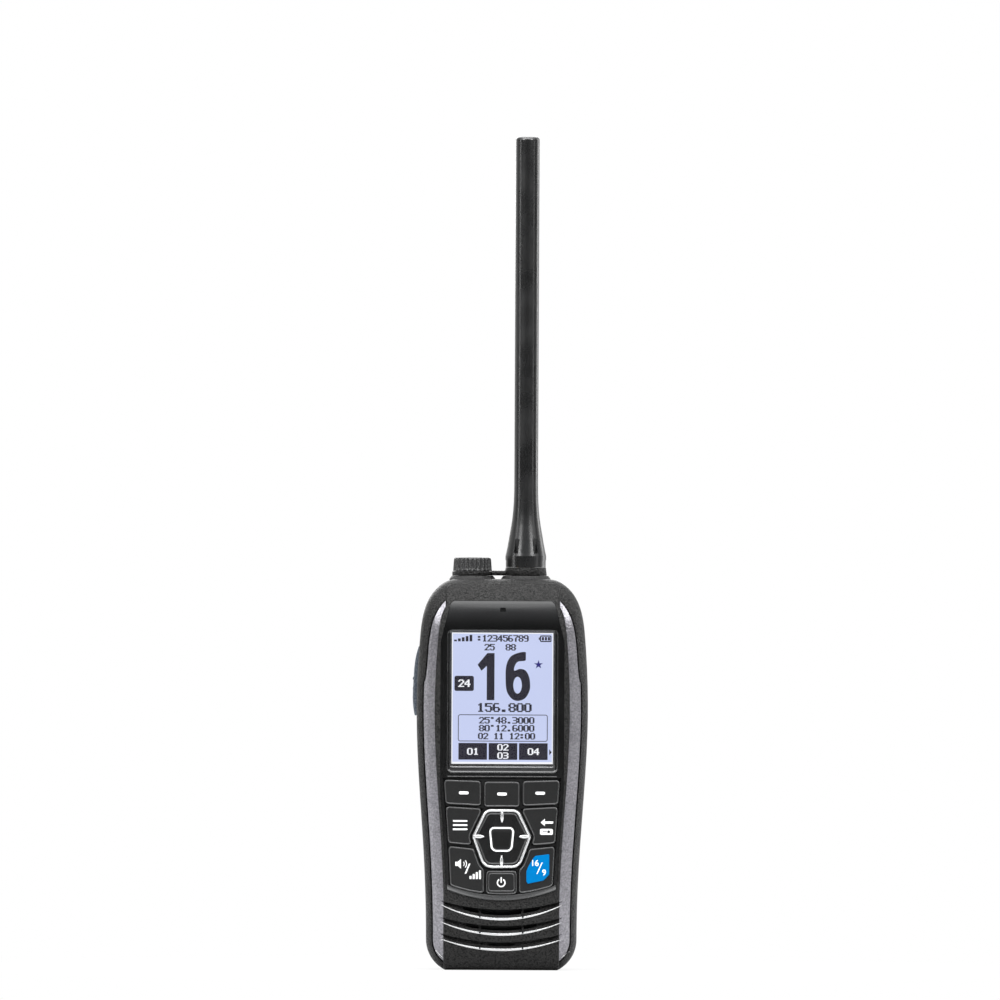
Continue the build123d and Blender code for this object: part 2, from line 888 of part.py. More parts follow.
# ---- Front case ------------------------------------------------------------------------------
with BuildPart() as front_case:
    add(shoulder)
    # channels for the accent strips, with a groove along their outer edge; the deck closes their inner side
    with BuildPart(mode=Mode.PRIVATE) as channels:
        add(prism(strip_outline(0, -channel_overlap), face_y - 2, seam_y - 1))
        mirror(about=Plane.YZ)
        add(behind(shoulder, strip_thickness + strip_seat), mode=Mode.SUBTRACT)
    add(channels.part, mode=Mode.SUBTRACT)
    add(deck)
    # bed of the glossy panel
    with BuildPart(mode=Mode.PRIVATE) as bed:
        add(prism(panel_outline(), face_y - 2, seam_y - 1))
        add(behind(deck, panel_thickness + panel_bed_gap), mode=Mode.SUBTRACT)
    add(bed.part, mode=Mode.SUBTRACT)
    # inside: a shallow part out to the walls and a deep part behind the deck
    with BuildPart(mode=Mode.PRIVATE) as hollow:
        with BuildSketch(front_plane(seam_y)):
            add(case_outline(shell_wall))
            add(between(foot_wall, case_height), mode=Mode.INTERSECT)
        extrude(amount=seam_y - shelf_y)
        add(face_form(case_outline(deck_inset + deep_margin), face_wall, brow_radius, seam_y))
    add(hollow.part, mode=Mode.SUBTRACT)
    # flat seats for the display and the keypad mat
    with BuildSketch(front_plane(shelf_y)):
        with Locations((0, lcd_middle)):
            Rectangle(2 * lcd_half_width + 2 * seat_gap, lcd_height + 2 * seat_gap)
        add(mat_outline(-seat_gap))
    extrude(amount=shelf_y - inner_face_y, mode=Mode.SUBTRACT)
    # openings for the display and the keys
    with BuildSketch(front_plane(shelf_y)):
        with Locations((0, lcd_middle)):
            Rectangle(2 * lcd_opening_half_width, lcd_opening_height)
        add(keypad_outline())
    extrude(amount=shelf_y - face_y, mode=Mode.SUBTRACT)
    # collars for the speaker and the microphone, and bosses for the screws
    with BuildPart(mode=Mode.PRIVATE) as collar:
        add(prism(speaker_outline(collar_wall), face_y, speaker_front_y))
        with BuildSketch(front_plane(mic_back_y)):
            with Locations((mic_slot_x, mic_slot_height)):
                Circle(mic_radius + collar_wall)
        extrude(amount=mic_back_y - face_y)
        add(behind(deck, panel_thickness + panel_bed_gap), mode=Mode.INTERSECT)
    add(collar.part)
    with BuildSketch(front_plane(seam_y)):
        with Locations(*screw_places()):
            Circle(screw_boss_radius)
    extrude(amount=screw_reach + part_gap)
    # the louvres, their slots and the space in front of the speaker
    for index in range(len(slot_half_widths)):
        add(louvre_cut(index), mode=Mode.SUBTRACT)
        add(prism(slot_outline(index), face_y - 1, speaker_front_y), mode=Mode.SUBTRACT)
    with BuildPart(mode=Mode.PRIVATE) as chamber:
        add(prism(speaker_outline(), inner_face_y, speaker_front_y))
        add(behind(deck, face_wall - 0.5), mode=Mode.INTERSECT)
    add(chamber.part, mode=Mode.SUBTRACT)
    # seat and opening for the microphone
    with BuildSketch(front_plane(mic_back_y)):
        with Locations((mic_slot_x, mic_slot_height)):
            Circle(mic_radius + seat_gap)
    extrude(amount=mic_depth + seat_gap, mode=Mode.SUBTRACT)
    with BuildSketch(front_plane(mic_back_y)):
        with Locations((mic_slot_x, mic_slot_height)):
            Rectangle(*mic_slot_size)
    extrude(amount=wide, mode=Mode.SUBTRACT)
    # screw bores and the groove for the seal
    with BuildSketch(front_plane(seam_y)):
        with Locations(*screw_places()):
            Circle(screw_radius + running_gap)
    extrude(amount=screw_reach + fit_gap, mode=Mode.SUBTRACT)
    with BuildSketch(front_plane(seam_y)):
        add(case_outline(seal_inset))
        add(case_outline(seal_inset + seal_width), mode=Mode.SUBTRACT)
    extrude(amount=seal_height + seat_gap, mode=Mode.SUBTRACT)
save(front_case, "front_case")

with BuildPart() as case_seal:
    with BuildSketch(front_plane(seam_y)):
        add(case_outline(seal_inset + seat_gap))
        add(case_outline(seal_inset + seal_width - seat_gap), mode=Mode.SUBTRACT)
    extrude(amount=seal_height)
save(case_seal, "case_seal")

# ---- Accent strips ---------------------------------------------------------------------------
with BuildPart() as accent_strip_right:
    add(prism(strip_outline(strip_groove, seat_gap), face_y - 2, seam_y - 1))
    add(shoulder, mode=Mode.INTERSECT)
    add(behind(shoulder, strip_thickness), mode=Mode.SUBTRACT)
    for index in range(len(slot_half_widths)):
        add(louvre_cut(index), mode=Mode.SUBTRACT)
save(accent_strip_right, "accent_strip_right")

with BuildPart() as accent_strip_left:
    mirror(accent_strip_right.part, about=Plane.YZ)
save(accent_strip_left, "accent_strip_left")

# ---- Front panel -----------------------------------------------------------------------------
with BuildPart() as front_panel:
    add(prism(panel_outline(seat_gap * 2), face_y - 2, seam_y - 1))
    add(deck, mode=Mode.INTERSECT)
    add(behind(deck, panel_thickness), mode=Mode.SUBTRACT)
    with BuildSketch(front_plane(seam_y)):
        with Locations((0, (window_bottom + window_top) / 2)):
            RectangleRounded(2 * window_half_width, window_top - window_bottom, window_corner)
        add(keypad_outline())
        with Locations((mic_slot_x, mic_slot_height)):
            Rectangle(*mic_slot_size)
    extrude(amount=wide, mode=Mode.SUBTRACT)
save(front_panel, "front_panel")

# ---- Display ---------------------------------------------------------------------------------
bezel_width = 2 * (window_half_width - 2 * seat_gap)
bezel_height = window_top - window_bottom - 4 * seat_gap
lens_width = 2 * (window_half_width - bezel_side)
lens_height = window_top - window_bottom - bezel_top - bezel_bottom
window_middle = (window_bottom + window_top) / 2

with BuildPart() as display_bezel:
    with BuildSketch(front_plane(panel_bed_y - seat_gap)):
        with Locations((0, window_middle)):
            RectangleRounded(bezel_width, bezel_height, window_corner - 2 * seat_gap)
    extrude(amount=panel_bed_y - seat_gap - face_y - bezel_front_drop)
    with BuildSketch(front_plane(panel_bed_y - seat_gap)):
        with Locations((0, lcd_middle)):
            Rectangle(lens_width + 2 * seat_gap, lens_height + 2 * seat_gap)
    with BuildSketch(front_plane(face_y + bezel_front_drop)):
        with Locations((0, window_middle)):
            Rectangle(bezel_width - 4 * seat_gap, bezel_height - 4 * seat_gap)
    loft(mode=Mode.SUBTRACT)
save(display_bezel, "display_bezel")

with BuildPart() as display_window:
    with BuildSketch(front_plane(face_y + lens_drop + lens_thickness)):
        with Locations((0, lcd_middle)):
            Rectangle(lens_width, lens_height)
    extrude(amount=lens_thickness)
save(display_window, "display_window")

with BuildPart() as lcd_module:
    with BuildSketch(front_plane(lcd_back_y)):
        with Locations((0, lcd_middle)):
            Rectangle(2 * lcd_half_width, lcd_height)
    extrude(amount=lcd_thickness)
    with BuildSketch(front_plane(inner_face_y)):
        with Locations((0, lcd_middle)):
            Rectangle(2 * lcd_opening_half_width - 2 * lcd_wall_gap, lcd_opening_height - 2 * lcd_wall_gap)
    extrude(amount=lcd_glass_rise)
save(lcd_module, "lcd_module")

# ---- Keys ------------------------------------------------------------------------------------
mirrored_keys = {
    "soft_key_left": "soft_key_right",
    "menu_key": "clear_key",
    "volume_squelch_key": "channel_16_key",
}
key_shapes = {}
web_shapes = []
for name in ("soft_key_right", "clear_key", "channel_16_key", "soft_key_middle", "power_key"):
    key_shapes[name] = key_outline(name)
    web_shapes.append(key_outline(name, fit_gap))
for name, twin in mirrored_keys.items():
    with BuildSketch() as left_key:
        mirror(key_shapes[twin], about=Plane.YZ)
    key_shapes[name] = left_key.sketch
    with BuildSketch() as left_web:
        mirror(key_outline(twin, fit_gap), about=Plane.YZ)
    web_shapes.append(left_web.sketch)

power_pad_size = (
    2 * (power_half_width - power_pad_margin),
    power_top - power_bottom - 2 * power_pad_margin,
)
for name, shape in key_shapes.items():
    with BuildPart() as key:
        with BuildSketch(front_plane(key_foot_y)):
            add(shape)
        extrude(amount=key_foot_y - key_top_y)
        chamfer(key.faces().sort_by(Axis.Y)[0].edges(), key_edge)
        if name == "power_key":
            with BuildSketch(front_plane(key_top_y)):
                with Locations((0, (power_bottom + power_top) / 2)):
                    RectangleRounded(*power_pad_size, key_corner)
            extrude(amount=power_pad_rise)
        if name == "channel_16_key":
            with BuildSketch(front_plane(key_top_y + insert_thickness - insert_rise)):
                add(insert_outline())
                offset(amount=insert_gap)
            extrude(amount=wide, mode=Mode.SUBTRACT)
    save(key, name)

with BuildPart() as channel_16_cap:
    with BuildSketch(front_plane(key_top_y + insert_thickness - insert_rise)):
        add(insert_outline())
    extrude(amount=insert_thickness)
    chamfer(channel_16_cap.faces().sort_by(Axis.Y)[0].edges(), key_edge / 2)
save(channel_16_cap, "channel_16_cap")

# ---- Mat, board and switches under the keys --------------------------------------------------
with BuildPart() as keypad_mat:
    with BuildSketch(front_plane(mat_back_y)):
        add(mat_outline())
    extrude(amount=mat_thickness)
    with BuildSketch(front_plane(inner_face_y)):
        add(keypad_outline(fit_gap))
        for web_shape in web_shapes:
            add(web_shape, mode=Mode.SUBTRACT)
        add(ring_outline(pad_tilt_gap), mode=Mode.SUBTRACT)
    extrude(amount=inner_face_y - face_y - web_drop)
save(keypad_mat, "keypad_mat")

with BuildPart() as keypad_board:
    with BuildSketch(front_plane(board_y + board_thickness)):
        add(mat_outline(part_gap))
    extrude(amount=board_thickness)
save(keypad_board, "keypad_board")

dome_places = []
for name, shape in key_shapes.items():
    centre = shape.bounding_box().center()
    dome_places.append((centre.X, centre.Y))
for step in (-1, 1):
    dome_places.append((0, pad_height + step * (pivot_radius - dome_radius / 2)))
    dome_places.append((step * (pivot_radius - dome_radius / 2), pad_height))
dome_places.append((0, (enter_top + enter_bottom) / 2))
with BuildPart() as dome_switches:
    with BuildSketch(front_plane(board_y)):
        with Locations(*dome_places):
            Circle(dome_radius)
    extrude(amount=dome_height)
save(dome_switches, "dome_switches")

# ---- Direction pad ---------------------------------------------------------------------------
ring_foot_y = face_y - ring_rise + ring_depth
pad_foot_y = face_y - part_gap + pad_thickness
with BuildPart() as direction_ring:
    with BuildSketch(front_plane(ring_foot_y)):
        add(ring_outline())
        add(ring_outline(-ring_band), mode=Mode.SUBTRACT)
    extrude(amount=ring_depth)
    chamfer(direction_ring.faces().sort_by(Axis.Y)[0].outer_wire().edges(), key_edge)
    with BuildSketch(front_plane(ring_foot_y)):
        with Locations((0, ring_top - ring_band / 2 - pointer_reach / 2 + 0.2)):
            Rectangle(pointer_width, pointer_reach)
        with Locations((0, ring_bottom + ring_band / 2 + pointer_reach / 2 - 0.2)):
            Rectangle(pointer_width, pointer_reach)
        side_pointer_x = ring_half_width - ring_band - side_pointer_reach / 2
        with Locations((side_pointer_x, ring_middle), (-side_pointer_x, ring_middle)):
            Rectangle(side_pointer_reach, pointer_width)
    extrude(amount=ring_depth - key_edge / 2)
save(direction_ring, "direction_ring")

with BuildPart() as direction_pad:
    with BuildSketch(front_plane(pad_foot_y)):
        add(ring_outline())
    extrude(amount=pad_foot_y - ring_foot_y)
    with BuildSketch(front_plane(ring_foot_y)):
        add(ring_outline(-ring_band - seat_gap))
    extrude(amount=ring_foot_y - face_y + part_gap)
    chamfer(direction_pad.faces().sort_by(Axis.Y)[0].outer_wire().edges(), key_edge)
    add(direction_ring.part, mode=Mode.SUBTRACT)
    with BuildSketch(front_plane(pad_foot_y)):
        add(enter_outline(fit_gap))
    extrude(amount=wide, mode=Mode.SUBTRACT)
save(direction_pad, "direction_pad")

with BuildPart() as enter_key:
    with BuildSketch(front_plane(enter_foot_y)):
        add(enter_outline())
    extrude(amount=enter_foot_y - face_y + enter_rise + part_gap)
    chamfer(enter_key.faces().sort_by(Axis.Y)[0].edges(), key_edge)
save(enter_key, "enter_key")

with BuildPart() as direction_boot:
    with BuildSketch(front_plane(inner_face_y - pivot_gap)):
        with Locations((0, pad_height)):
            Circle(pivot_radius)
            Circle(pivot_inner_radius, mode=Mode.SUBTRACT)
    extrude(amount=pivot_thickness)
save(direction_boot, "direction_boot")

# ---- Speaker, microphone and the boards ------------------------------------------------------
with BuildPart() as speaker_membrane:
    add(prism(speaker_outline(-seat_gap), speaker_front_y - membrane_thickness, speaker_front_y))
save(speaker_membrane, "speaker_membrane")

basket_y = speaker_front_y + speaker_flange + speaker_depth
with BuildPart() as speaker_frame:
    add(prism(speaker_outline(collar_wall), speaker_front_y, speaker_front_y + speaker_flange))
    with BuildSketch(front_plane(speaker_front_y + speaker_flange)):
        add(speaker_outline(-collar_wall))
    with BuildSketch(front_plane(basket_y)):
        with Locations((0, speaker_height)):
            Circle(magnet_radius)
    loft()
    with BuildSketch(front_plane(speaker_front_y)):
        add(speaker_outline(-2 * collar_wall))
    with BuildSketch(front_plane(basket_y - 2 * collar_wall)):
        with Locations((0, speaker_height)):
            Circle(magnet_radius - 2 * collar_wall)
    loft(mode=Mode.SUBTRACT)
save(speaker_frame, "speaker_frame")

with BuildPart() as speaker_cone:
    with BuildSketch(front_plane(speaker_front_y + part_gap)):
        add(speaker_outline(-3 * collar_wall))
    with BuildSketch(front_plane(basket_y - 2 * collar_wall)):
        with Locations((0, speaker_height)):
            Circle(magnet_radius / 2)
    loft()
save(speaker_cone, "speaker_cone")

with BuildPart() as speaker_magnet:
    with BuildSketch(front_plane(basket_y + magnet_depth)):
        with Locations((0, speaker_height)):
            Circle(magnet_radius)
    extrude(amount=magnet_depth)
    chamfer(speaker_magnet.edges().filter_by(GeomType.CIRCLE), key_edge)
save(speaker_magnet, "speaker_magnet")

with BuildPart() as microphone:
    with BuildSketch(front_plane(mic_back_y)):
        with Locations((mic_slot_x, mic_slot_height)):
            Circle(mic_radius)
    extrude(amount=mic_depth)
    chamfer(microphone.faces().sort_by(Axis.Y)[0].edges(), key_edge)
save(microphone, "microphone")

chassis_front_y = shelf_y + chassis_thickness
post_places = [(side * board_post_x, height) for side in (-1, 1) for height in board_post_heights]
key_posts = [(side * board_post_x, height) for side in (-1, 1) for height in key_post_heights]
lcd_posts = [(side * board_post_x, height) for side in (-1, 1) for height in lcd_post_heights]
with BuildPart() as chassis:
    with BuildSketch(front_plane(chassis_front_y)):
        add(case_outline(chassis_inset))
        add(between(chassis_bottom, case_height - chassis_top_drop), mode=Mode.INTERSECT)
        with Locations(*screw_places()):
            Circle(screw_boss_radius + part_gap, mode=Mode.SUBTRACT)
    extrude(amount=chassis_thickness)
    with BuildSketch(front_plane(shelf_y)):
        with Locations(*key_posts):
            Circle(post_radius)
    extrude(amount=shelf_y - board_y - board_thickness)
    with BuildSketch(front_plane(shelf_y)):
        with Locations(*lcd_posts):
            Circle(post_radius)
    extrude(amount=shelf_y - lcd_back_y)
    with BuildSketch(front_plane(chassis_front_y + main_board_lift)):
        with Locations(*post_places):
            Circle(post_radius)
    extrude(amount=main_board_lift)
save(chassis, "chassis")

with BuildPart() as gps_antenna:
    with BuildSketch(front_plane(shelf_y)):
        with Locations((gps_x, gps_height)):
            Rectangle(gps_size, gps_size)
    extrude(amount=gps_depth)
    chamfer(gps_antenna.faces().sort_by(Axis.Y)[0].edges(), key_edge)
save(gps_antenna, "gps_antenna")

main_board_y = chassis_front_y + main_board_lift
ptt_inner_x = ptt_inner_taper - case_half_width
ptt_switch_x = ptt_inner_x + ptt_travel + fit_gap
ptt_middle = (ptt_bottom + ptt_top) / 2
with BuildPart() as main_board:
    with BuildSketch(front_plane(main_board_y + main_board_thickness)):
        add(case_outline(main_board_inset))
        add(between(main_board_bottom, case_height - main_board_top_drop), mode=Mode.INTERSECT)
        with Locations(*screw_places()):
            Circle(screw_boss_radius + part_gap, mode=Mode.SUBTRACT)
        with Locations((ptt_switch_x - case_half_width / 2, ptt_middle)):
            Rectangle(case_half_width, ptt_top - ptt_bottom + 4 * ptt_flange_lip, mode=Mode.SUBTRACT)
    extrude(amount=main_board_thickness)
save(main_board, "main_board")

with BuildPart() as shield_cans:
    with BuildSketch(front_plane(main_board_y + main_board_thickness + can_height)):
        with Locations(*[(0, height) for height in can_heights]):
            RectangleRounded(can_size[0], can_size[1], 1.0)
    extrude(amount=can_height)
save(shield_cans, "shield_cans")

with BuildPart() as ptt_switch:
    with BuildSketch(front_plane(main_board_y + main_board_thickness + ptt_switch_size[1])):
        with Locations((ptt_switch_x + ptt_switch_size[0] / 2, ptt_middle)):
            Rectangle(ptt_switch_size[0], ptt_switch_size[2])
    extrude(amount=ptt_switch_size[1])
save(ptt_switch, "ptt_switch")

# ---- Rear case -------------------------------------------------------------------------------
block_floor = bay_top + rear_wall
inner_crown_z = case_height - shell_wall
ptt_hole = (ptt_high_y - ptt_low_y, ptt_top - ptt_bottom)
ptt_y = (ptt_high_y + ptt_low_y) / 2
pocket_floor_y = back_y - distress_pocket_depth
hinge_bar_y = back_y - cover_hinge_inset
hinge_bar_z = distress_height + distress_pocket[1] / 2 - cover_hinge_drop
top_bosses = (
    (antenna_x, antenna_boss_radius, antenna_boss_top, antenna_neck_height),
    (jack_x, jack_boss_radius, jack_boss_top, jack_neck_height),
)
with BuildPart() as rear_case:
    add(rear)
    # battery bay, open to the back
    with Locations((0, bay_y + wide / 2, (shelf_top + bay_top) / 2)):
        Box(2 * wide, wide, bay_top - shelf_top, mode=Mode.SUBTRACT)
    # inside
    add(prism(case_outline(shell_wall), seam_y, bay_y - rear_wall), mode=Mode.SUBTRACT)
    with BuildSketch(front_plane(top_cavity_y)):
        add(case_outline(shell_wall))
        add(between(block_floor, case_height), mode=Mode.INTERSECT)
    extrude(amount=top_cavity_y - seam_y, mode=Mode.SUBTRACT)
    # screw pillars, the rest behind the speaker and the boss of the battery screw
    with BuildSketch(front_plane(bay_y - rear_wall / 2)):
        with Locations(*screw_places()):
            Circle(screw_boss_radius)
    extrude(amount=bay_y - rear_wall / 2 - seam_y)
    with BuildSketch(front_plane(bay_y - rear_wall / 2)):
        with Locations((0, speaker_height)):
            Circle(magnet_radius - 2 * collar_wall)
    extrude(amount=bay_y - rear_wall / 2 - basket_y - magnet_depth)
    with BuildSketch(front_plane(bay_y - rear_wall / 2)):
        with Locations((0, coin_screw_height)):
            Circle(coin_head_radius)
    extrude(amount=coin_reach)
    with BuildSketch(front_plane(bay_y)):
        with Locations(*screw_places()):
            Circle(screw_radius + running_gap)
    extrude(amount=wide, mode=Mode.SUBTRACT)
    with BuildSketch(front_plane(bay_y)):
        with Locations(*screw_places()):
            Circle(screw_head_radius + seat_gap)
    extrude(amount=screw_head_height, mode=Mode.SUBTRACT)
    with BuildSketch(front_plane(bay_y)):
        with Locations((0, coin_screw_height)):
            Circle(coin_shank_radius + coin_bore_gap)
    extrude(amount=coin_reach + coin_bore_gap, mode=Mode.SUBTRACT)
    with BuildSketch(front_plane(bay_y)):
        with GridLocations(contact_pitch, 1, contact_count, 1):
            with Locations((0, contact_height)):
                Circle(contact_radius + seat_gap)
    extrude(amount=2 * rear_wall, mode=Mode.SUBTRACT)
    # pockets for the lugs of the battery
    for side in (-1, 1):
        pocket_x = side * lug_x - lug_length / 2 - part_gap
        with BuildSketch(Plane(origin=(pocket_x, 0, 0), x_dir=(0, 1, 0), z_dir=(1, 0, 0))):
            with Locations((hinge_y, hinge_z)):
                Circle(lug_radius + part_gap)
        extrude(amount=lug_length + 2 * part_gap, mode=Mode.SUBTRACT)
    # bosses and necks of the antenna and the jack, with their bores
    for x, foot_radius, shoulder_radius, neck_height in top_bosses:
        with BuildSketch(level_plane(x, inner_crown_z + rear_wall / 2)):
            Circle(foot_radius)
        extrude(amount=case_height - inner_crown_z - rear_wall / 2)
        with BuildSketch(level_plane(x, case_height)):
            Circle(foot_radius)
        with BuildSketch(level_plane(x, case_height + boss_height)):
            Circle(shoulder_radius)
        loft()
        with BuildSketch(level_plane(x, case_height + boss_height)):
            Circle(neck_radius)
        extrude(amount=neck_height)
    with BuildSketch(level_plane(antenna_x, neck_top)):
        Circle(socket_radius + seat_gap)
    extrude(amount=-neck_radius * 2, mode=Mode.SUBTRACT)
    with BuildSketch(level_plane(antenna_x, inner_crown_z)):
        Circle(socket_flange_radius + seat_gap)
    with BuildSketch(level_plane(jack_x, inner_crown_z)):
        Circle(jack_radius + socket_flange / 2 + seat_gap)
    extrude(amount=-2 * socket_flange, mode=Mode.SUBTRACT)
    with BuildSketch(level_plane(jack_x, jack_neck_top)):
        Circle(jack_radius + seat_gap)
    extrude(amount=-neck_radius * 2, mode=Mode.SUBTRACT)
    # opening of the push-to-talk key
    with BuildSketch(Plane(origin=(-case_half_width - 5, 0, 0), x_dir=(0, 1, 0), z_dir=(1, 0, 0))):
        with Locations((ptt_y, ptt_middle)):
            Rectangle(ptt_hole[0], ptt_hole[1])
    extrude(amount=case_half_width / 2, mode=Mode.SUBTRACT)
    # pocket, bore and hinge holes of the distress key
    with BuildSketch(front_plane(back_y + 1)):
        with Locations((0, distress_height)):
            RectangleRounded(distress_pocket[0], distress_pocket[1], 1.0)
    extrude(amount=distress_pocket_depth + 1, mode=Mode.SUBTRACT)
    with BuildSketch(front_plane(pocket_floor_y)):
        with Locations((0, distress_height)):
            Circle(distress_key_radius + fit_gap)
    extrude(amount=pocket_floor_y - top_cavity_y, mode=Mode.SUBTRACT)
    with BuildSketch(Plane.YZ):
        with Locations((hinge_bar_y, hinge_bar_z)):
            Circle(cover_pin_radius + running_gap)
    extrude(amount=distress_pocket[0] / 2 + cover_pin_grip, both=True, mode=Mode.SUBTRACT)
    # rest for the distress switch
    rest_height = distress_height - switch_size[2] / 2 - block_floor + rear_wall / 2
    rest_foot = block_floor - rear_wall / 2
    with Locations((0, distress_switch_y + switch_size[1] / 2, rest_foot + rest_height / 2)):
        Box(switch_size[0], switch_size[1], rest_height)
save(rear_case, "rear_case")

# ---- Case screws -----------------------------------------------------------------------------
with BuildPart() as case_screws:
    with BuildSketch(front_plane(screw_head_y)):
        with Locations(*screw_places()):
            Circle(screw_radius)
    extrude(amount=screw_length)
    with BuildSketch(front_plane(bay_y)):
        with Locations(*screw_places()):
            Circle(screw_head_radius)
    extrude(amount=screw_head_height)
    with BuildSketch(front_plane(bay_y)):
        with Locations(*screw_places()):
            Rectangle(screw_head_radius * 1.4, coin_slot_width / 4)
            Rectangle(coin_slot_width / 4, screw_head_radius * 1.4)
    extrude(amount=screw_head_height / 2, mode=Mode.SUBTRACT)
save(case_screws, "case_screws")

# ---- Antenna ---------------------------------------------------------------------------------
socket_top = antenna_foot + connector_height - part_gap - socket_plate
with BuildPart() as antenna_socket:
    with BuildSketch(level_plane(antenna_x, inner_crown_z - socket_flange)):
        Circle(socket_flange_radius)
    extrude(amount=socket_flange)
    with BuildSketch(level_plane(antenna_x, inner_crown_z)):
        Circle(socket_radius)
    extrude(amount=socket_top - inner_crown_z)
    chamfer(antenna_socket.faces().sort_by(Axis.Z)[-1].edges(), key_edge)
    with BuildSketch(level_plane(antenna_x, socket_top)):
        Circle(pin_radius + pin_gap)
    extrude(amount=-pin_length - 1, mode=Mode.SUBTRACT)
save(antenna_socket, "antenna_socket")

with BuildPart() as antenna_connector:
    with BuildSketch(level_plane(antenna_x, antenna_foot + seal_ring_height)):
        Circle(connector_radius)
        Circle(socket_radius + running_gap, mode=Mode.SUBTRACT)
    extrude(amount=socket_top + part_gap - antenna_foot - seal_ring_height)
    with BuildSketch(level_plane(antenna_x, socket_top + part_gap)):
        Circle(connector_radius)
    extrude(amount=socket_plate)
    with BuildSketch(level_plane(antenna_x, socket_top + part_gap)):
        Circle(pin_radius)
    extrude(amount=-pin_length)
save(antenna_connector, "antenna_connector")

with BuildPart() as antenna_seal:
    with BuildSketch(level_plane(antenna_x, antenna_foot)):
        Circle(antenna_seal_outer)
        Circle(antenna_seal_inner, mode=Mode.SUBTRACT)
    extrude(amount=seal_ring_height - seat_gap)
save(antenna_seal, "antenna_seal")

with BuildPart() as antenna_whip:
    profile_plane = Plane(origin=(antenna_x, top_y, antenna_foot), x_dir=(1, 0, 0), z_dir=(0, -1, 0))
    with BuildSketch(profile_plane):
        with BuildLine():
            skirt_radius = antenna_foot_radius - antenna_skirt_groove
            bore_top = antenna_top - antenna_foot
            Polyline(
                (connector_radius + seat_gap, connector_height + seat_gap),
                (connector_radius + seat_gap, seal_ring_height),
                (antenna_seal_outer + seat_gap, seal_ring_height),
                (antenna_seal_outer + seat_gap, 0),
                (skirt_radius, 0),
                (skirt_radius, antenna_skirt_height),
                (antenna_foot_radius, antenna_skirt_height),
                (antenna_foot_radius, antenna_foot_height),
            )
            taper = Spline(
                (antenna_foot_radius, antenna_foot_height),
                (taper_low_radius, taper_low_height),
                (taper_high_radius, taper_high_height),
                (whip_radius, whip_start_height),
                tangents=[(-0.2, 1), (0, 1)],
            )
            Polyline(
                taper @ 1,
                (whip_radius, bore_top),
                (0, bore_top),
                (0, connector_height + seat_gap),
                (connector_radius + seat_gap, connector_height + seat_gap),
            )
        make_face()
    revolve(axis=Axis((antenna_x, top_y, 0), (0, 0, 1)))
    fillet(antenna_whip.edges().sort_by(Axis.Z)[-1], tip_round)
    fillet(antenna_whip.edges().filter_by(
        lambda edge: abs(edge.center().Z - antenna_foot - antenna_foot_height) < 0.01), foot_round)
    flute_middle = antenna_foot + flute_foot + flute_width / 2
    with BuildSketch(*radial_planes(antenna_x, flute_middle, flute_radius, flute_count, flute_phase)):
        Circle(flute_width / 2)
        with Locations((0, flute_length / 2)):
            Rectangle(flute_width, flute_length)
    extrude(amount=2 * flute_width, mode=Mode.SUBTRACT)
save(antenna_whip, "antenna_whip")

# ---- Jack, cap and tether --------------------------------------------------------------------
with BuildPart() as accessory_jack:
    with BuildSketch(level_plane(jack_x, inner_crown_z - socket_flange)):
        Circle(jack_radius + socket_flange / 2)
    extrude(amount=socket_flange)
    with BuildSketch(level_plane(jack_x, inner_crown_z)):
        Circle(jack_radius)
    extrude(amount=jack_neck_top - part_gap - inner_crown_z)
    with BuildSketch(level_plane(jack_x, jack_neck_top - part_gap)):
        Circle(jack_bore_radius)
    extrude(amount=-jack_bore_depth, mode=Mode.SUBTRACT)
save(accessory_jack, "accessory_jack")

cap_edge = cap_foot + part_gap
cap_ceiling = jack_neck_top + fit_gap + seal_ring_height
with BuildPart() as jack_cap_seal:
    with BuildSketch(level_plane(jack_x, jack_neck_top + fit_gap)):
        Circle(cap_seal_outer)
        Circle(cap_seal_inner, mode=Mode.SUBTRACT)
    extrude(amount=seal_ring_height - seat_gap)
save(jack_cap_seal, "jack_cap_seal")

with BuildPart() as jack_cap:
    with BuildSketch(Plane(origin=(jack_x, top_y, 0), x_dir=(1, 0, 0), z_dir=(0, -1, 0))):
        with BuildLine():
            Polyline(
                (0, cap_ceiling),
                (neck_radius + fit_gap, cap_ceiling),
                (neck_radius + fit_gap, cap_edge),
                (cap_spigot_radius, cap_edge),
                (cap_spigot_radius, cap_body_foot),
                (cap_radius, cap_body_foot),
                (cap_top_radius, cap_foot + cap_height),
                (0, cap_foot + cap_height),
                close=True,
            )
        make_face()
    revolve(axis=Axis((jack_x, top_y, 0), (0, 0, 1)))
    fillet(jack_cap.faces().sort_by(Axis.Z)[-1].edges(), cap_round)
    flute_floor = cap_radius - cap_flute_depth
    with BuildSketch(*radial_planes(jack_x, cap_body_foot, flute_floor, cap_flutes, cap_flute_phase)):
        with Locations((0, cap_height / 2)):
            Rectangle(cap_flute_width, cap_height)
    extrude(amount=2 * cap_flute_depth, mode=Mode.SUBTRACT)
save(jack_cap, "jack_cap")

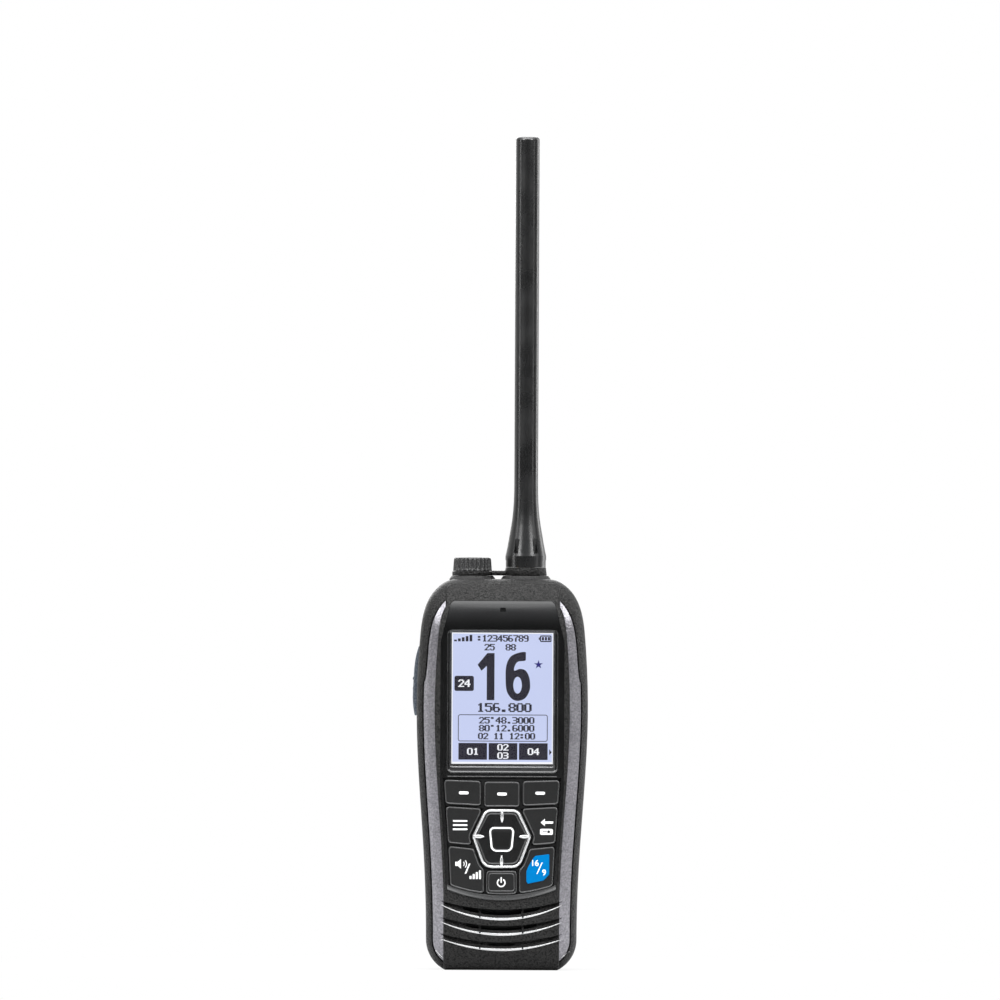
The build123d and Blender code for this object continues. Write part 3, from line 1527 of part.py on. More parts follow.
strap_z = cap_foot + seat_gap
with BuildPart() as cap_tether:
    with BuildSketch(level_plane(antenna_x, strap_z)):
        Circle(tether_collar_foot)
    with BuildSketch(level_plane(antenna_x, strap_z + tether_collar_height)):
        Circle(tether_collar_top)
    loft()
    with BuildSketch(level_plane(jack_x, strap_z)):
        Circle(tether_ring_outer)
    extrude(amount=tether_ring_height)
    with Locations(((antenna_x + jack_x) / 2, top_y, strap_z + tether_thickness / 2)):
        Box(antenna_x - jack_x - neck_radius - cap_spigot_radius, tether_width, tether_thickness)
    with BuildSketch(level_plane(antenna_x, strap_z)):
        Circle(neck_radius + 2 * running_gap)
    extrude(amount=2 * tether_collar_height, mode=Mode.SUBTRACT)
    with BuildSketch(level_plane(jack_x, strap_z)):
        Circle(cap_spigot_radius + 2 * running_gap)
    extrude(amount=2 * tether_collar_height, mode=Mode.SUBTRACT)
    with BuildSketch(level_plane(jack_x, strap_z + tether_ring_height)):
        Circle(cap_radius + 2 * part_gap)
    extrude(amount=tether_collar_height, mode=Mode.SUBTRACT)
save(cap_tether, "cap_tether")

# ---- Push-to-talk key ------------------------------------------------------------------------
ptt_flange_x = ptt_flange_taper - case_half_width
ptt_edge = case_half_width + ptt_proud
with BuildPart() as ptt_button:
    with BuildSketch(Plane(origin=(0, ptt_y, 0), x_dir=(1, 0, 0), z_dir=(0, -1, 0))):
        with BuildLine():
            face = Spline(
                (-ptt_edge + ptt_top_taper, ptt_top - fit_gap),
                (-ptt_edge + ptt_top_taper / 3, ptt_top - 5),
                (-ptt_edge, ptt_middle),
                (-ptt_edge, ptt_bottom + 3),
                (-ptt_edge + ptt_foot_taper, ptt_bottom + fit_gap),
            )
            low_corner = (ptt_inner_x, ptt_bottom + fit_gap)
            high_corner = (ptt_inner_x, ptt_top - fit_gap)
            Polyline(face @ 1, low_corner, high_corner, face @ 0)
        make_face()
    extrude(amount=ptt_hole[0] / 2 - fit_gap, both=True)
    fillet(ptt_button.edges().filter_by(GeomType.BSPLINE), ptt_edge_round)
    with Locations(((ptt_inner_x + ptt_flange_x) / 2, ptt_y, ptt_middle)):
        Box(
            ptt_inner_x - ptt_flange_x,
            ptt_hole[0] + 2 * ptt_flange_lip,
            ptt_hole[1] + 2 * ptt_flange_lip,
        )
    for drop in ptt_ridge_drops:
        ridge_x = ptt_ridge_radius - ptt_ridge_stand - ptt_edge
        with BuildSketch(Plane(origin=(ridge_x, ptt_y, ptt_top - drop), x_dir=(1, 0, 0), z_dir=(0, -1, 0))):
            Circle(ptt_ridge_radius)
        extrude(amount=ptt_hole[0] / 2 - 2 * ptt_edge_round, both=True)
save(ptt_button, "ptt_button")

# ---- Battery ---------------------------------------------------------------------------------
pack_middle = (pack_bottom + pack_top) / 2
lid_y = pack_y + lid_thickness
cavity_top = hinge_z - lug_radius - rear_wall
cavity_height = cavity_top - pack_cavity_bottom
cavity_middle = (pack_cavity_bottom + cavity_top) / 2
lid_size = (cell_width + 2 * lid_lip, cavity_height + 2 * lid_lip)
cell_height = (cavity_top - pack_cavity_bottom - (cell_count + 1) * seat_gap - cell_gap) / cell_count
with BuildPart() as battery_case:
    add(rear)
    with Locations((0, pack_y + wide / 2, pack_middle)):
        Box(2 * wide, wide, pack_top - pack_bottom, mode=Mode.INTERSECT)
    top_face = battery_case.faces().sort_by(Axis.Z)[-1]
    fillet(top_face.edges().filter_by(lambda edge: edge.center().Y > pack_y + 0.1), pack_nose)
    for side in (-1, 1):
        lug_plane = Plane(origin=(side * lug_x - lug_length / 2, 0, 0), x_dir=(0, 1, 0), z_dir=(1, 0, 0))
        with BuildSketch(lug_plane):
            with Locations((hinge_y, hinge_z)):
                Circle(lug_radius)
            with Locations((back_y + wide / 2, hinge_z)):
                Rectangle(wide, case_height, mode=Mode.SUBTRACT)
        extrude(amount=lug_length)
    with BuildSketch(front_plane(back_y - pack_back_wall)):
        with Locations((0, cavity_middle)):
            Rectangle(cell_width + 2 * seat_gap, cavity_height)
    extrude(amount=back_y - pack_back_wall - pack_y, mode=Mode.SUBTRACT)
    with BuildSketch(front_plane(lid_y)):
        with Locations((0, cavity_middle)):
            Rectangle(lid_size[0] + 2 * seat_gap, lid_size[1] + 2 * seat_gap)
    extrude(amount=lid_thickness, mode=Mode.SUBTRACT)
    with BuildSketch(front_plane(back_y)):
        with Locations((0, coin_screw_height)):
            Circle(coin_head_radius + fit_gap)
    extrude(amount=coin_head_height, mode=Mode.SUBTRACT)
    with BuildSketch(front_plane(back_y)):
        with Locations((0, coin_screw_height)):
            Circle(coin_shank_radius + running_gap)
    extrude(amount=wide, mode=Mode.SUBTRACT)
save(battery_case, "battery_case")

with BuildPart() as battery_lid:
    with BuildSketch(front_plane(lid_y)):
        with Locations((0, cavity_middle)):
            Rectangle(*lid_size)
    extrude(amount=lid_thickness)
    with BuildSketch(front_plane(pack_y)):
        with Locations((0, contact_height)):
            with GridLocations(contact_pitch, 1, contact_count, 1):
                Rectangle(terminal_width + 2 * seat_gap, terminal_length + 2 * seat_gap)
    extrude(amount=-terminal_thickness, mode=Mode.SUBTRACT)
save(battery_lid, "battery_lid")

with BuildPart() as battery_terminals:
    with BuildSketch(front_plane(pack_y + terminal_thickness)):
        with Locations((0, contact_height)):
            with GridLocations(contact_pitch, 1, contact_count, 1):
                Rectangle(terminal_width, terminal_length)
    extrude(amount=terminal_thickness)
save(battery_terminals, "battery_terminals")

with BuildPart() as battery_cells:
    with BuildSketch(front_plane(back_y - pack_back_wall)):
        with Locations((0, cavity_middle)):
            with GridLocations(1, cell_height + cell_gap, 1, cell_count):
                RectangleRounded(cell_width, cell_height, 2.0)
    extrude(amount=back_y - pack_back_wall - lid_y - seat_gap)
save(battery_cells, "battery_cells")

with BuildPart() as battery_screw:
    with BuildSketch(front_plane(back_y)):
        with Locations((0, coin_screw_height)):
            Circle(coin_head_radius)
    extrude(amount=coin_head_height - seat_gap)
    chamfer(battery_screw.faces().sort_by(Axis.Y)[-1].edges(), key_edge)
    with BuildSketch(front_plane(back_y - coin_head_height + seat_gap)):
        with Locations((0, coin_screw_height)):
            Circle(coin_shank_radius)
    extrude(amount=back_y - coin_head_height + seat_gap - bay_y + coin_reach)
    chamfer(battery_screw.faces().sort_by(Axis.Y)[0].edges(), key_edge)
    with BuildSketch(front_plane(back_y)):
        with Locations((0, coin_screw_height)):
            Rectangle(2 * coin_head_radius, coin_slot_width)
    extrude(amount=coin_slot_depth, mode=Mode.SUBTRACT)
save(battery_screw, "battery_screw")

with BuildPart() as battery_contacts:
    with BuildSketch(front_plane(bay_y - rear_wall)):
        with Locations((0, contact_height)):
            with GridLocations(contact_pitch, 1, contact_count, 1):
                Circle(contact_radius)
    extrude(amount=-rear_wall - part_gap + seat_gap)
    with BuildSketch(front_plane(bay_y - rear_wall)):
        with Locations((0, contact_height)):
            with GridLocations(contact_pitch, 1, contact_count, 1):
                Circle(contact_head_radius)
    extrude(amount=contact_length - rear_wall)
save(battery_contacts, "battery_contacts")

# ---- Belt clip -------------------------------------------------------------------------------
clip_y = back_y + clip_axis_stand
with BuildPart() as belt_clip_base:
    with BuildSketch(front_plane(back_y + clip_base_thickness)):
        with Locations((0, clip_axis_height)):
            RectangleRounded(clip_base_size[0], clip_base_size[1], 1.5)
    extrude(amount=clip_base_thickness)
    for side in (-1, 1):
        ear_x = side * (clip_width / 2 + fit_gap) + (side - 1) / 2 * clip_ear_thickness
        with BuildSketch(Plane(origin=(ear_x, 0, 0), x_dir=(0, 1, 0), z_dir=(1, 0, 0))):
            with BuildLine():
                Polyline(
                    (back_y, clip_axis_height - 2 * clip_barrel_radius),
                    (clip_y, clip_axis_height - clip_barrel_radius),
                    (clip_y, clip_axis_height + clip_barrel_radius),
                    (back_y, clip_axis_height + 2 * clip_barrel_radius),
                    close=True,
                )
            make_face()
            with Locations((clip_y, clip_axis_height)):
                Circle(clip_barrel_radius)
        extrude(amount=clip_ear_thickness)
    with BuildSketch(Plane.YZ):
        with Locations((clip_y, clip_axis_height)):
            Circle(clip_pin_radius + seat_gap / 2)
    extrude(amount=wide, both=True, mode=Mode.SUBTRACT)
save(belt_clip_base, "belt_clip_base")

with BuildPart() as belt_clip_pin:
    with BuildSketch(Plane.YZ):
        with Locations((clip_y, clip_axis_height)):
            Circle(clip_pin_radius)
    extrude(amount=clip_width / 2 + fit_gap + clip_ear_thickness, both=True)
save(belt_clip_pin, "belt_clip_pin")

plate_y = clip_y + clip_barrel_radius - clip_thickness / 2
with BuildPart() as belt_clip:
    with BuildSketch(Plane.YZ):
        with BuildLine():
            spine = Polyline(
                (plate_y, clip_axis_height + clip_tab_reach),
                (plate_y, clip_tip_height + 8),
                (back_y + part_gap + clip_thickness / 2, clip_tip_height + 3),
                (plate_y, clip_tip_height),
            )
            offset(spine, amount=clip_thickness / 2, side=Side.BOTH)
        make_face()
    extrude(amount=clip_width / 2, both=True)
    with BuildSketch(Plane.YZ):
        with Locations((clip_y, clip_axis_height)):
            Circle(clip_barrel_radius)
    extrude(amount=clip_width / 2, both=True)
    with Locations((0, clip_y, clip_axis_height)):
        Box(2 * spring_half_width, 3 * clip_barrel_radius, 2.4 * clip_barrel_radius, mode=Mode.SUBTRACT)
    with BuildSketch(Plane.YZ):
        with Locations((clip_y, clip_axis_height)):
            Circle(clip_pin_radius + running_gap)
    extrude(amount=clip_width / 2, both=True, mode=Mode.SUBTRACT)
save(belt_clip, "belt_clip")

with BuildPart() as belt_clip_spring:
    with BuildLine() as coil:
        Helix(
            pitch=2 * (spring_half_width - spring_wire) / spring_turns,
            height=2 * (spring_half_width - spring_wire),
            radius=spring_radius,
            center=(-spring_half_width + spring_wire, clip_y, clip_axis_height),
            direction=(1, 0, 0),
        )
    with BuildSketch(Plane(origin=coil.line @ 0, z_dir=coil.line % 0)):
        Circle(spring_wire / 2)
    sweep(path=coil.line, is_frenet=True)
save(belt_clip_spring, "belt_clip_spring")

# ---- Distress key and its cover --------------------------------------------------------------
with BuildPart() as distress_key:
    with BuildSketch(front_plane(pocket_floor_y + part_gap)):
        with Locations((0, distress_height)):
            Circle(distress_key_radius)
    extrude(amount=distress_key_length)
    chamfer(distress_key.faces().sort_by(Axis.Y)[-1].edges(), key_edge)
    with BuildSketch(front_plane(top_cavity_y - seat_gap)):
        with Locations((0, distress_height)):
            Circle(distress_key_radius + distress_lip)
    extrude(amount=distress_lip)
save(distress_key, "distress_key")

with BuildPart() as distress_switch:
    with Locations((0, distress_switch_y + switch_size[1] / 2, distress_height)):
        Box(switch_size[0], switch_size[1], switch_size[2])
save(distress_switch, "distress_switch")

cover_width = distress_pocket[0] - 2 * part_gap
cover_bottom = distress_height - distress_pocket[1] / 2 + part_gap
with BuildPart() as distress_cover:
    with BuildSketch(front_plane(back_y)):
        with Locations((0, (cover_bottom + hinge_bar_z) / 2)):
            Rectangle(cover_width, hinge_bar_z - cover_bottom)
    extrude(amount=cover_thickness)
    with BuildSketch(Plane.YZ):
        with Locations((hinge_bar_y, hinge_bar_z)):
            Circle(cover_barrel_radius)
    extrude(amount=cover_width / 2, both=True)
    with BuildSketch(Plane.YZ):
        with Locations((hinge_bar_y, hinge_bar_z)):
            Circle(cover_pin_radius + running_gap)
    extrude(amount=cover_width / 2, both=True, mode=Mode.SUBTRACT)
    with BuildSketch(front_plane(back_y)):
        with Locations((0, cover_bottom)):
            RectangleRounded(cover_notch[0], cover_notch[1], 0.6)
    extrude(amount=cover_thickness / 2, mode=Mode.SUBTRACT)
save(distress_cover, "distress_cover")

with BuildPart() as distress_cover_pin:
    with BuildSketch(Plane.YZ):
        with Locations((hinge_bar_y, hinge_bar_z)):
            Circle(cover_pin_radius)
    extrude(amount=distress_pocket[0] / 2 + cover_pin_grip - fit_gap, both=True)
save(distress_cover_pin, "distress_cover_pin")
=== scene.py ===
# %% [markdown]
# # A handheld marine radio, dressed for the camera
#
# The frame brings in the radio's solid pieces, each already in its place.
# This notebook gives every piece its finish, and adds what is too fine for the solids: the picture
# on the display and the frame round it, the printed key legends and the rims of the keys, the
# bright ring of the direction pad, the polished lips of the speaker louvres, the seal of the
# battery bay, and the rubber tether and the fine flutes of the jack cap.
# The scene is in metres, +Z is up and the face looks along -Y; pieces are drawn in millimetres.

# %% Open the frame
import json
import math

import bpy
import numpy as np
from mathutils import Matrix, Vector


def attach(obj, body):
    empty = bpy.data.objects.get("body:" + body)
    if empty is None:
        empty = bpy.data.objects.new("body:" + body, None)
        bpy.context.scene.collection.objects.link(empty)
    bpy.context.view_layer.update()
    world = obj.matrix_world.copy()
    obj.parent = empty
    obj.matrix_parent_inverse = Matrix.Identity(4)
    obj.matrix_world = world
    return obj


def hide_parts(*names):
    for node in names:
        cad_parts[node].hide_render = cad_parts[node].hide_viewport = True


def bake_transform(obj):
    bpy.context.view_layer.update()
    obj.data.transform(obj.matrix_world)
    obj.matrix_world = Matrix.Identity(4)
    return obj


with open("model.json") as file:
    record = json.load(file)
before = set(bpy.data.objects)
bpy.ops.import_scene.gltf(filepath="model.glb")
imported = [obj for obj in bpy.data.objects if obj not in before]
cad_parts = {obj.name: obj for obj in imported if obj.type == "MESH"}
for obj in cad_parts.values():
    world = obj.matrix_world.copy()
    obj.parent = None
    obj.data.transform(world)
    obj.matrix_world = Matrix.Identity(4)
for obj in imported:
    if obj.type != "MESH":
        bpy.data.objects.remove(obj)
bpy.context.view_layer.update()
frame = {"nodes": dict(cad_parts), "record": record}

nodes = frame["nodes"]
mm = 0.001

# %% [markdown]
# ## Small tools for meshes
#
# A surface here is worked out as whole numpy arrays: a grid of points, one row per step along the
# piece and one column per step round its section. The faces join each point to its neighbours.
# Blender could also build these shapes from curves with a bevel, but a grid gives the exact width
# and height at every step, which a lip that thins towards its ends needs.


# %% Turn arrays into an object
def add_piece(name, mesh, material, body):
    """Puts a finished mesh into the scene with its material, riding on a body."""
    piece = bpy.data.objects.new(name, mesh)
    bpy.context.scene.collection.objects.link(piece)
    piece.data.materials.append(material)
    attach(piece, body)
    return piece


def make_piece(name, points, faces, material, body, smooth=True):
    """A mesh object at the origin with the given points in millimetres, riding on a body."""
    mesh = bpy.data.meshes.new(name)
    mesh.from_pydata((np.asarray(points, float) * mm).tolist(), [], [list(face) for face in faces])
    mesh.polygons.foreach_set("use_smooth", np.full(len(mesh.polygons), smooth))
    mesh.update()
    return add_piece(name, mesh, material, body)


def vertex_points(mesh):
    """The points of a mesh as rows of x, y and z."""
    points = np.zeros(len(mesh.vertices) * 3)
    mesh.vertices.foreach_get("co", points)
    return points.reshape(-1, 3)


def grid_points(x, y, z):
    """The points of a grid, row by row, from three arrays that broadcast to its shape."""
    return np.stack(np.broadcast_arrays(x, y, z), axis=-1).reshape(-1, 3)


def grid_faces(rows, columns, closed_rows=False, closed_columns=True):
    """Faces of a grid: face (i, j) joins points (i, j), (i+1, j), (i+1, j+1) and (i, j+1)."""
    i = np.arange(rows if closed_rows else rows - 1)
    j = np.arange(columns if closed_columns else columns - 1)
    a, b = [index.ravel() for index in np.meshgrid(i, j, indexing="ij")]
    here, right = a * columns + b, a * columns + (b + 1) % columns
    below, across = (a + 1) % rows * columns + b, (a + 1) % rows * columns + (b + 1) % columns
    return np.stack([here, below, across, right], axis=1)


def tube_faces(rows, columns, flip=False):
    """Faces of a closed tube: its sides and a face at either end; flip turns them all over."""
    faces = grid_faces(rows, columns).tolist()
    faces += [list(range(columns)), list(range(rows * columns - 1, (rows - 1) * columns - 1, -1))]
    return [face[::-1] for face in faces] if flip else faces


def capped_faces(rows, columns):
    """Faces of a grid whose rows run in a ring, with a face over its first and its last column."""
    first = np.arange(rows) * columns
    faces = grid_faces(rows, columns, True, False).tolist()
    return faces + [first[::-1].tolist(), (first + columns - 1).tolist()]


def box_arrays(centres, sizes):
    """Many boxes at once: eight corners and six outward faces for each centre, as two arrays."""
    corner = np.array([[-1, -1, -1], [1, -1, -1], [1, 1, -1], [-1, 1, -1],
                       [-1, -1, 1], [1, -1, 1], [1, 1, 1], [-1, 1, 1]]) / 2
    face = np.array([[0, 3, 2, 1], [4, 5, 6, 7], [0, 1, 5, 4], [1, 2, 6, 5], [2, 3, 7, 6],
                     [3, 0, 4, 7]])
    centres = np.atleast_2d(np.asarray(centres, float))
    points = centres[:, None, :] + corner[None] * np.broadcast_to(sizes, centres.shape)[:, None, :]
    faces = face[None] + 8 * np.arange(len(centres))[:, None, None]
    return points.reshape(-1, 3), faces.reshape(-1, 4)


def full_turn(count):
    """Evenly spaced angles once round a circle, in radians."""
    return np.linspace(0, 2 * np.pi, count, endpoint=False)


def arc(cx, cz, radius, first, last, steps):
    """Points of an arc in the x-z plane; angles in degrees, from +x towards +z."""
    turn = np.radians(np.linspace(first, last, steps))
    return np.stack([cx + radius * np.cos(turn), cz + radius * np.sin(turn)], axis=1)


def rounded(left, right, low, high, radius, steps=8):
    """A rectangle with round corners, counter-clockwise."""
    corners = ((right - radius, low + radius, -90), (right - radius, high - radius, 0),
               (left + radius, high - radius, 90), (left + radius, low + radius, 180))
    return np.concatenate([arc(x, z, radius, turn, turn + 90, steps) for x, z, turn in corners])


def filled(name, loops, front, depth, material, body):
    """Flat shapes with holes: closed lines in x-z, raised from front + depth to front."""
    curve = bpy.data.curves.new(name, "CURVE")
    curve.dimensions, curve.fill_mode, curve.extrude = "2D", "BOTH", depth / 2
    for loop in loops:
        spline = curve.splines.new("POLY")
        spline.points.add(len(loop) - 1)
        flat = np.zeros((len(loop), 4))
        flat[:, :2], flat[:, 3] = loop, 1
        spline.points.foreach_set("co", flat.ravel())
        spline.use_cyclic_u = True
    return upright(name, curve, front + depth / 2, material, body)


def upright(name, curve, middle, material, body, at=(0, 0)):
    """Makes a flat curve or text a mesh, stands it up to face -Y and sets it at depth middle."""
    flat = bpy.data.objects.new(name + "_flat", curve)
    bpy.context.scene.collection.objects.link(flat)
    bpy.context.view_layer.update()
    mesh = bpy.data.meshes.new_from_object(flat.evaluated_get(bpy.context.evaluated_depsgraph_get()))
    bpy.data.objects.remove(flat)
    x, z, lift = vertex_points(mesh).T
    stood = grid_points(x + at[0], middle - lift, z + at[1]) * mm
    mesh.vertices.foreach_set("co", stood.ravel())
    mesh.materials.clear()
    mesh.name = name
    mesh.update()
    return add_piece(name, mesh, material, body)


print("mesh tools ready")


# %% Carry a section along a line
def even_points(loop, count=None, spacing=0.2):
    """The same closed line with count evenly spaced points, or as many as the spacing gives."""
    closed = np.concatenate([loop, loop[:1]])
    along = np.concatenate([[0], np.cumsum(np.linalg.norm(np.diff(closed, axis=0), axis=1))])
    count = count or max(int(along[-1] / spacing), 12)
    even = np.linspace(0, along[-1], count, endpoint=False)
    return np.stack([np.interp(even, along, closed[:, axis]) for axis in (0, 1)], axis=1)


def side_vectors(path):
    """Unit vectors to the right of a closed line at each of its points."""
    ahead = np.roll(path, -1, 0) - np.roll(path, 1, 0)
    ahead /= np.linalg.norm(ahead, axis=1)[:, None]
    return np.stack([ahead[:, 1], -ahead[:, 0]], axis=1)


def square_to(start, stop):
    """The unit vector to the left of the straight line from start to stop."""
    x, z = np.subtract(stop, start) / math.dist(start, stop)
    return np.array([-z, x])


def swept(path, side, across, depth):
    """Points of a section carried along an x-z line: across lies along side, depth along y."""
    side = np.broadcast_to(side, path.shape)
    x, z = [path[:, axis, None] + side[:, axis, None] * across for axis in (0, 1)]
    return grid_points(x, depth, z)


def between(outer, inner, share):
    """The x and z grids of straight lines from an outer outline to an inner one, at given shares."""
    way = inner - outer
    return [outer[:, axis, None] + way[:, axis, None] * share for axis in (0, 1)]


def joined(parts):
    """Several meshes as one: their points in a row, and their faces renumbered to match."""
    starts = np.cumsum([0] + [len(points) for points, _ in parts]).tolist()
    faces = [[corner + start for corner in face]
             for start, (_, part) in zip(starts, parts) for face in part]
    return np.concatenate([points for points, _ in parts]), faces


print("line tools ready")

# %% [markdown]
# ## Finishes
#
# Nearly everything on such a radio is moulded plastic or rubber whose mould was etched with a fine
# grain. One helper makes that finish: a fine noise lifts the surface as bump and moves the colour
# a little with it, and a broad noise changes the gloss slightly, as handling does.
# All of it reads Object coordinates, and since every piece sits at the origin the grain has the
# same size all over the radio.


# %% Helpers for node trees
handling_scale, grain_tips = 90.0, (0.5, 0.64)


def new_material(name):
    """A new material; returns the material, its node tree and its Principled shader."""
    material = bpy.data.materials.new(name)
    material.use_nodes = True
    return material, material.node_tree, material.node_tree.nodes["Principled BSDF"]


def noise(tree, scale, detail=2.0, stretch=None):
    """The value of a noise on Object coordinates, scale in features per metre, perhaps stretched."""
    texture = tree.nodes.new("ShaderNodeTexNoise")
    texture.inputs["Scale"].default_value = scale
    texture.inputs["Detail"].default_value = detail
    vector = tree.nodes.new("ShaderNodeTexCoord").outputs["Object"]
    if stretch:
        mapping = tree.nodes.new("ShaderNodeMapping")
        mapping.inputs["Scale"].default_value = stretch
        tree.links.new(vector, mapping.inputs["Vector"])
        vector = mapping.outputs["Vector"]
    tree.links.new(vector, texture.inputs["Vector"])
    return texture.outputs["Fac"]


def colour_range(tree, source, low, high, start=0.3, end=0.7):
    """A colour that runs from low to high as the source goes from start to end."""
    ramp = tree.nodes.new("ShaderNodeValToRGB")
    ramp.color_ramp.elements[0].position, ramp.color_ramp.elements[1].position = start, end
    ramp.color_ramp.elements[0].color = (*low, 1)
    ramp.color_ramp.elements[1].color = (*high, 1)
    tree.links.new(source, ramp.inputs["Fac"])
    return ramp.outputs["Color"]


def value_range(tree, source, low, high, start=0.3, end=0.7, easing="LINEAR"):
    """A number that runs from low to high as the source goes from start to end."""
    spread = tree.nodes.new("ShaderNodeMapRange")
    spread.interpolation_type = easing
    spread.inputs["From Min"].default_value, spread.inputs["From Max"].default_value = start, end
    spread.inputs["To Min"].default_value, spread.inputs["To Max"].default_value = low, high
    tree.links.new(source, spread.inputs["Value"])
    return spread.outputs["Result"]


def bumped(tree, shader, height, distance):
    """Lifts a shader's surface by the height value, at most by distance in millimetres."""
    bump = tree.nodes.new("ShaderNodeBump")
    bump.inputs["Strength"].default_value = 1.0
    bump.inputs["Distance"].default_value = distance * mm
    tree.links.new(height, bump.inputs["Height"])
    tree.links.new(bump.outputs["Normal"], shader.inputs["Normal"])


def combined(tree, operation, first, second):
    """Two values joined by a math operation."""
    node = tree.nodes.new("ShaderNodeMath")
    node.operation = operation
    tree.links.new(first, node.inputs[0])
    tree.links.new(second, node.inputs[1])
    return node.outputs[0]


def mixed(tree, share, first, second, output):
    """Sends a mix of two shaders to an output; share 0 gives the first and 1 the second."""
    mix = tree.nodes.new("ShaderNodeMixShader")
    tree.links.new(share, mix.inputs["Fac"])
    tree.links.new(first, mix.inputs[1])
    tree.links.new(second, mix.inputs[2])
    tree.links.new(mix.outputs["Shader"], output.inputs["Surface"])


def moulded(name, dark, light, roughness, grain, depth, metallic=0.0, spread=0.06, shine=0.5,
            contrast=0.2, fleck=0.0):
    """Grained plastic, rubber or paint: colour between dark and light, bump depth in millimetres.

    A broad noise moves the roughness by spread to either side, a small contrast makes the colours
    change sharply, and fleck is how metallic the tips of the grain are.
    """
    material, tree, shader = new_material(name)
    shader.inputs["Specular IOR Level"].default_value = shine
    shader.inputs["Metallic"].default_value = metallic
    fine = noise(tree, grain)
    broad = noise(tree, handling_scale)
    tint = colour_range(tree, fine, dark, light, 0.5 - contrast, 0.5 + contrast)
    tree.links.new(tint, shader.inputs["Base Color"])
    gloss = value_range(tree, broad, roughness - spread, roughness + spread)
    tree.links.new(gloss, shader.inputs["Roughness"])
    bumped(tree, shader, fine, depth)
    if fleck:
        glint = value_range(tree, fine, 0.0, fleck, *grain_tips)
        tree.links.new(glint, shader.inputs["Metallic"])
    return material


def brushed(name, dark, light, roughness, stretch=(1, 1, 8), scale=900.0):
    """Bare metal with fine drawn lines: the noise is squeezed along one axis and runs in streaks."""
    material, tree, shader = new_material(name)
    lines = noise(tree, scale, 3.0, stretch)
    tree.links.new(colour_range(tree, lines, dark, light), shader.inputs["Base Color"])
    rough = value_range(tree, lines, roughness * 0.8, roughness * 1.25)
    tree.links.new(rough, shader.inputs["Roughness"])
    bumped(tree, shader, lines, 0.004)
    shader.inputs["Metallic"].default_value = 1.0
    return material


def grey(level, warm=0.0):
    """A neutral colour, a little warmer or cooler."""
    return (level * (1 + warm), level, level * (1 - warm))


print("material tools ready")

# %% [markdown]
# ## The finishes by name
#
# The solids carry slot names such as case_plastic or gunmetal. One material is made for each slot
# and then given to every piece that has it; the few pieces that need a finish of their own follow
# after the list. Dark plastics are not black: their light grains and their gloss catch the studio
# light, and only the deep gaps fall to black.

# %% Plastics, rubbers and metals
finishes = {
    "case_plastic": moulded("case_plastic", grey(0.003, 0.04), grey(0.036, 0.02), 0.40, 1700, 0.55,
                            shine=0.18, contrast=0.13, fleck=0.8),
    "rear_rubber": moulded("rear_rubber", grey(0.008, 0.03), grey(0.024, 0.02), 0.52, 1600, 0.40,
                           shine=0.3, contrast=0.14),
    "gunmetal": moulded("gunmetal", (0.17, 0.165, 0.18), (0.36, 0.35, 0.375), 0.34, 1500, 0.12,
                        metallic=0.7, contrast=0.24),
    "gloss_black": moulded("gloss_black", grey(0.002), grey(0.0035), 0.21, 5200, 0.004, spread=0.02,
                           shine=0.6),
    "bezel_grey": moulded("bezel_grey", grey(0.08), grey(0.12), 0.24, 3600, 0.01, metallic=0.85),
    "key_rubber": moulded("key_rubber", grey(0.005), grey(0.009), 0.62, 3000, 0.03, shine=0.25),
    "key_face": moulded("key_face", grey(0.008), grey(0.014), 0.38, 3000, 0.012, spread=0.04,
                        shine=0.3),
    "blue_insert": moulded("blue_insert", (0.0, 0.155, 0.42), (0.0, 0.175, 0.47), 0.5, 4200, 0.006,
                           shine=0.03),
    "ring_metal": moulded("ring_metal", grey(0.72), grey(0.84), 0.25, 4200, 0.005, metallic=0.75),
    "antenna_rubber": moulded("antenna_rubber", grey(0.005), grey(0.008), 0.28, 3200, 0.010,
                              shine=0.95),
    "seal": moulded("seal", grey(0.012), grey(0.02), 0.7, 1800, 0.04, shine=0.3),
    "ptt_blue": moulded("ptt_blue", (0.045, 0.055, 0.07), (0.105, 0.125, 0.15), 0.55, 1700, 0.08,
                        shine=0.4, contrast=0.14),
    "cell": moulded("cell", (0.02, 0.12, 0.20), (0.03, 0.16, 0.25), 0.4, 2000, 0.02),
    "red_key": moulded("red_key", (0.50, 0.012, 0.01), (0.62, 0.02, 0.014), 0.4, 3600, 0.02),
    "board": moulded("board", (0.010, 0.09, 0.035), (0.016, 0.13, 0.05), 0.4, 900, 0.02),
    "cone": moulded("cone", grey(0.006), grey(0.02), 0.85, 5200, 0.10, shine=0.1),
    "steel": brushed("steel", grey(0.42), grey(0.62), 0.30),
    "brass": brushed("brass", (0.62, 0.42, 0.16), (0.80, 0.58, 0.26), 0.26),
    "magnet": brushed("magnet", grey(0.16), grey(0.26), 0.42),
    "die_cast": brushed("die_cast", grey(0.34), grey(0.48), 0.46, (1, 1, 1), 1400),
}
# Painted highlight: a light satin metal, far lighter than the dark keys and panel it sits on, for the key
# rims, the pad's edge bead and the step line over the soft keys.
painted_highlight_satin = moulded("painted_highlight_satin", grey(0.10), grey(0.14), 0.27, 3600, 0.004, metallic=0.8)
cap_rubber = moulded("cap_rubber", grey(0.008, 0.02), grey(0.05), 0.36, 1800, 0.25, shine=0.6,
                     contrast=0.14, fleck=0.5)
# Painted sheen: a lighter satin for the sill, the black panel's own bevel.
sill_painted_sheen = moulded("sill_painted_sheen", grey(0.055), grey(0.08), 0.3, 3600, 0.006, metallic=0.5,
                     shine=0.7)
pad_gloss = moulded("pad_gloss", grey(0.002), grey(0.004), 0.26, 4200, 0.004, shine=0.5)
enter_rubber = moulded("enter_rubber", grey(0.003), grey(0.006), 0.5, 3200, 0.008, shine=0.2)
print("finishes", len(finishes))

